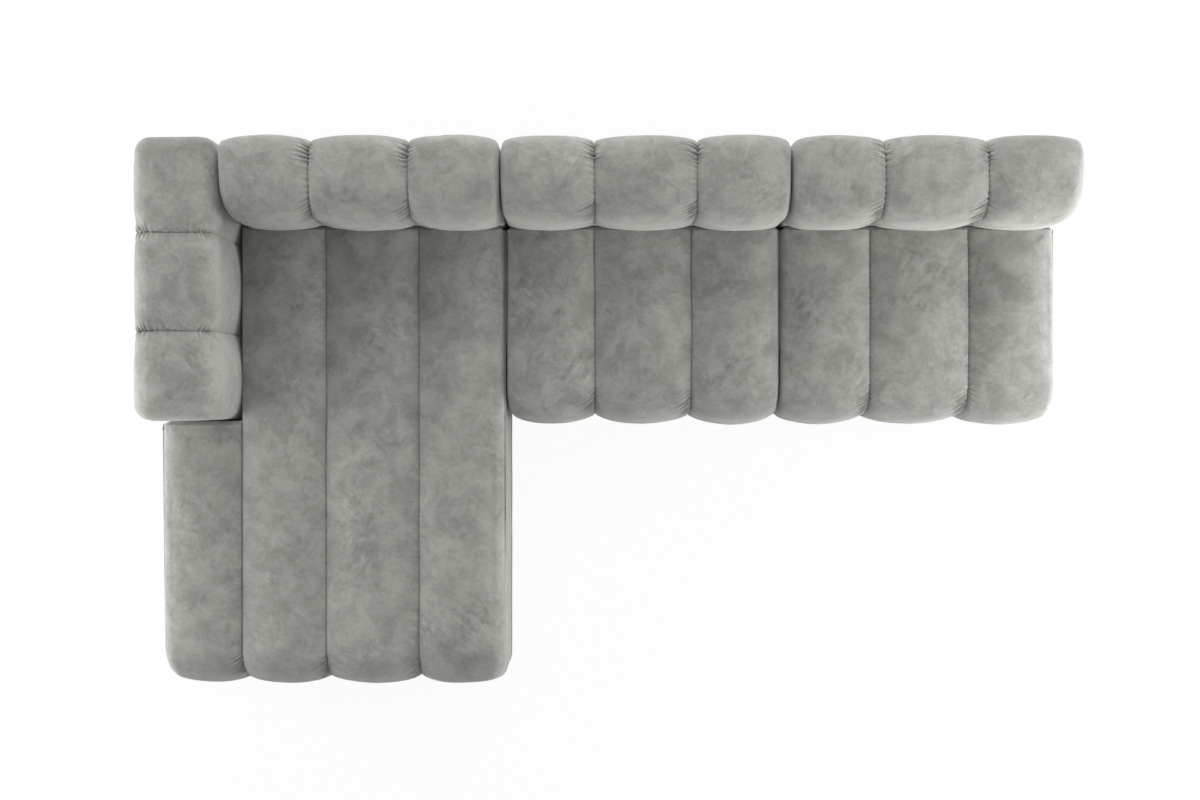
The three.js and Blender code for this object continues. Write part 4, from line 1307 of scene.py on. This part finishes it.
def webbing(name, body, node, nets):
    """Straps stretched over the rails, over and under one another."""
    level = sum(corner.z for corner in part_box(node)) / 2
    points, faces = [], []
    for (x0, x1), (y0, y1) in nets:
        middles = {}
        for axis, (b0, b1) in (("x", (y0, y1)), ("y", (x0, x1))):
            count = max(2, round((b1 - b0) / STRAP_PITCH))
            middles[axis] = [b0 + (i + 0.5) * (b1 - b0) / count for i in range(count)]
        for axis, (a0, a1) in (("x", (x0, x1)), ("y", (y0, y1))):
            crossings = middles["y" if axis == "x" else "x"]
            for i, middle in enumerate(middles[axis]):
                along = np.linspace(a0, a1, int((a1 - a0) / STRAP_STEP))
                wave = np.zeros_like(along)
                for k, crossing in enumerate(crossings):
                    over = (1 if (i + k) % 2 else -1) * (1 if axis == "x" else -1)
                    away = (along - crossing) / (STRAP_WIDTH * STRAP_CROSSING)
                    wave += over * np.exp(-(away**4))
                height = level + wave * STRAP_LIFT
                across = middle + STRAP_WIDTH / 2 * np.array(STRAP_LINES)
                start = len(points)
                rows = [(1, across), (-1, across[::-1])]
                for place, z in zip(along, height):
                    for side, line in rows:
                        for k, at in enumerate(line):
                            edge = STRAP_THIN_EDGE if k in (0, len(line) - 1) else 1
                            lift = z + side * edge * STRAP_THICKNESS / 2
                            points.append((place, at, lift) if axis == "x" else (at, place, lift))
                size = 2 * len(across)
                index = start + np.arange(len(along) * size).reshape(len(along), size)
                faces += ring_faces(index)
    mesh = mesh_of(name, points, faces)
    face_outwards(mesh)
    piece(name, mesh, "webbing", body, [node])


def dust_cover(name, body, node, feet):
    """Thin black cloth stapled under the base, hanging a little between its staples."""
    low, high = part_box(node)
    x = np.linspace(low.x + DUST_INSET, high.x - DUST_INSET, int((high.x - low.x) / DUST_STEP))
    y = np.linspace(low.y + DUST_INSET, high.y - DUST_INSET, int((high.y - low.y) / DUST_STEP))
    places = np.stack([*np.meshgrid(x, y, indexing="ij"), np.zeros((len(x), len(y)))], axis=-1)
    inside = np.minimum(
        np.minimum(places[..., 0] - x[0], x[-1] - places[..., 0]),
        np.minimum(places[..., 1] - y[0], y[-1] - places[..., 1]),
    )
    for foot in feet:
        foot_low, foot_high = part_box(foot)
        aside = places[..., 0] - (foot_low.x + foot_high.x) / 2
        behind = places[..., 1] - (foot_low.y + foot_high.y) / 2
        inside = np.minimum(inside, np.maximum(np.hypot(aside, behind) - DUST_HELD, 0))
    sag = eased(0.0, DUST_SLOPE, inside)
    creases = Ripples(len(name) + DUST_SEED, DUST_CREASE_LENGTH).at(places)
    places[..., 2] = low.z + CLOTH_GAP - DUST_SAG * sag * (1 + DUST_CREASE * creases)
    shell = Shell()
    shell.add(places, flip=True)
    made = piece(name, shell.mesh(name), "dust_cloth", body, [node])
    thicken(made, "cloth", DUST_CLOTH)


for unit, count in (("chaise", 6), ("middle", 4), ("right", 4)):
    body = f"{unit}_unit"
    cover_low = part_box(f"{unit}_seat_cover")[0]
    foam = f"{unit}_seat_foam"
    foam_low, foam_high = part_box(foam)
    rear = foam_high.y
    net_low, net_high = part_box(f"{unit}_seat_webbing")
    if unit == "chaise":
        step = ARM_STEP - FOAM_INSET
        fronts = [seat_seam_plane(cover_low.y, set_back) + FOAM_INSET for set_back in CHAISE_FRONTS]
        inner = chaise_left + FOAM_END
        seat_foam("chaise_foam", body, foam, fronts[0], rear, inner, foam_high.x)
        seat_foam("chaise_front_foam", body, foam, fronts[1], step, foam_low.x, inner)
        near = (net_low.y, step - FOAM_END)
        narrow = (chaise_left - RAIL / 4, net_high.x)
        nets = [((net_low.x, narrow[0]), near), (narrow, (near[0], net_high.y))]
    else:
        front = seat_seam_plane(cover_low.y) + FOAM_INSET
        seat_foam(f"{unit}_foam", body, foam, front, rear, foam_low.x, foam_high.x)
        nets = [((net_low.x, net_high.x), (net_low.y, net_high.y))]
    webbing(f"{unit}_webbing", body, f"{unit}_seat_webbing", nets)
    foam_cap(
        f"{unit}_back_foam_cap",
        "x",
        body,
        f"{unit}_back_foam",
        f"{unit}_back_frame",
        BACK_TOP,
        (BACK_FRONT_RADIUS, BACK_REAR_RADIUS),
    )
    feet = [f"{unit}_foot_{i + 1}" for i in range(count)]
    dust_cover(f"{unit}_dust_cloth", body, f"{unit}_dust_cover", feet)
foam_cap(
    "arm_foam_cap",
    "y",
    "chaise_unit",
    "arm_foam",
    "arm_frame",
    ARM_TOP,
    (ARM_RADIUS, ARM_RADIUS),
    ARM_SET_BACK,
)


# Stage


def floor_finish():
    """White to the camera, apart from a faint shadow, and a pale floor to the light."""
    floor = Finish("studio_floor")
    matt = floor.node("ShaderNodeBsdfDiffuse", None, {"Color": grey(FLOOR_GREY)})
    glow = floor.node("ShaderNodeEmission", None, {"Color": grey(1.0), "Strength": 1.0})
    inputs = {0: floor.seen() * FLOOR_GLOW, 1: matt, 2: glow}
    mixed = floor.node("ShaderNodeMixShader", None, inputs)
    floor.node("ShaderNodeOutputMaterial", None, {"Surface": mixed})
    return floor.material


def studio_sky():
    """White to the camera, and to the sofa the pale walls all round under a dimmer ceiling."""
    sky = Finish("studio_sky", "worlds")
    way = sky.node("ShaderNodeTexCoord", output="Generated")
    height = sky.node("ShaderNodeSeparateXYZ", None, {"Vector": way}, "Z")
    ceiling = sky.spread(height, *SKY_TURNS)
    lit = SKY_ALL_ROUND + ceiling * (SKY_ABOVE - SKY_ALL_ROUND)
    seen = sky.seen()
    level = seen + (1 - seen) * lit
    shown = sky.node("ShaderNodeBackground", None, {"Color": grey(1.0), "Strength": level})
    sky.node("ShaderNodeOutputWorld", None, {"Surface": shown})
    return sky.material


def light_stage():
    mesh = bpy.data.meshes.new("studio_floor")
    disc = bmesh.new()
    bmesh.ops.create_circle(disc, cap_ends=True, radius=FLOOR_RADIUS, segments=FLOOR_SIDES)
    disc.to_mesh(mesh)
    disc.free()
    floor = placed("studio_floor", mesh)
    mesh.materials.append(floor_finish())
    scene.world = studio_sky()

    for name, place, target, width, power in LAMPS:
        lamp = bpy.data.lights.new(name, "AREA")
        lamp.shape = "DISK"
        lamp.size = width
        lamp.energy = power
        hung = placed(name, lamp)
        hung.location = place
        way = Vector(target) - Vector(place)
        hung.rotation_euler = way.to_track_quat("-Z", "Y").to_euler()

    camera = bpy.data.cameras.new("camera")
    camera.lens = CAMERA_LENS
    camera.sensor_width = CAMERA_SENSOR
    camera.clip_end = CAMERA_REACH
    held = placed("camera", camera)
    held.location = CAMERA_PLACE
    scene.camera = held
    scene.view_settings.view_transform = "Standard"


light_stage()


# The CAD pieces that stay as they are, in their finishes

CAD_FINISHES = {"frame": "timber", "foot": "plastic", "bolt": "steel", "plate": "steel"}
for name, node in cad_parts.items():
    for word, finish in CAD_FINISHES.items():
        if word in name:
            for slot in node.material_slots:
                slot.material = FINISHES[finish]
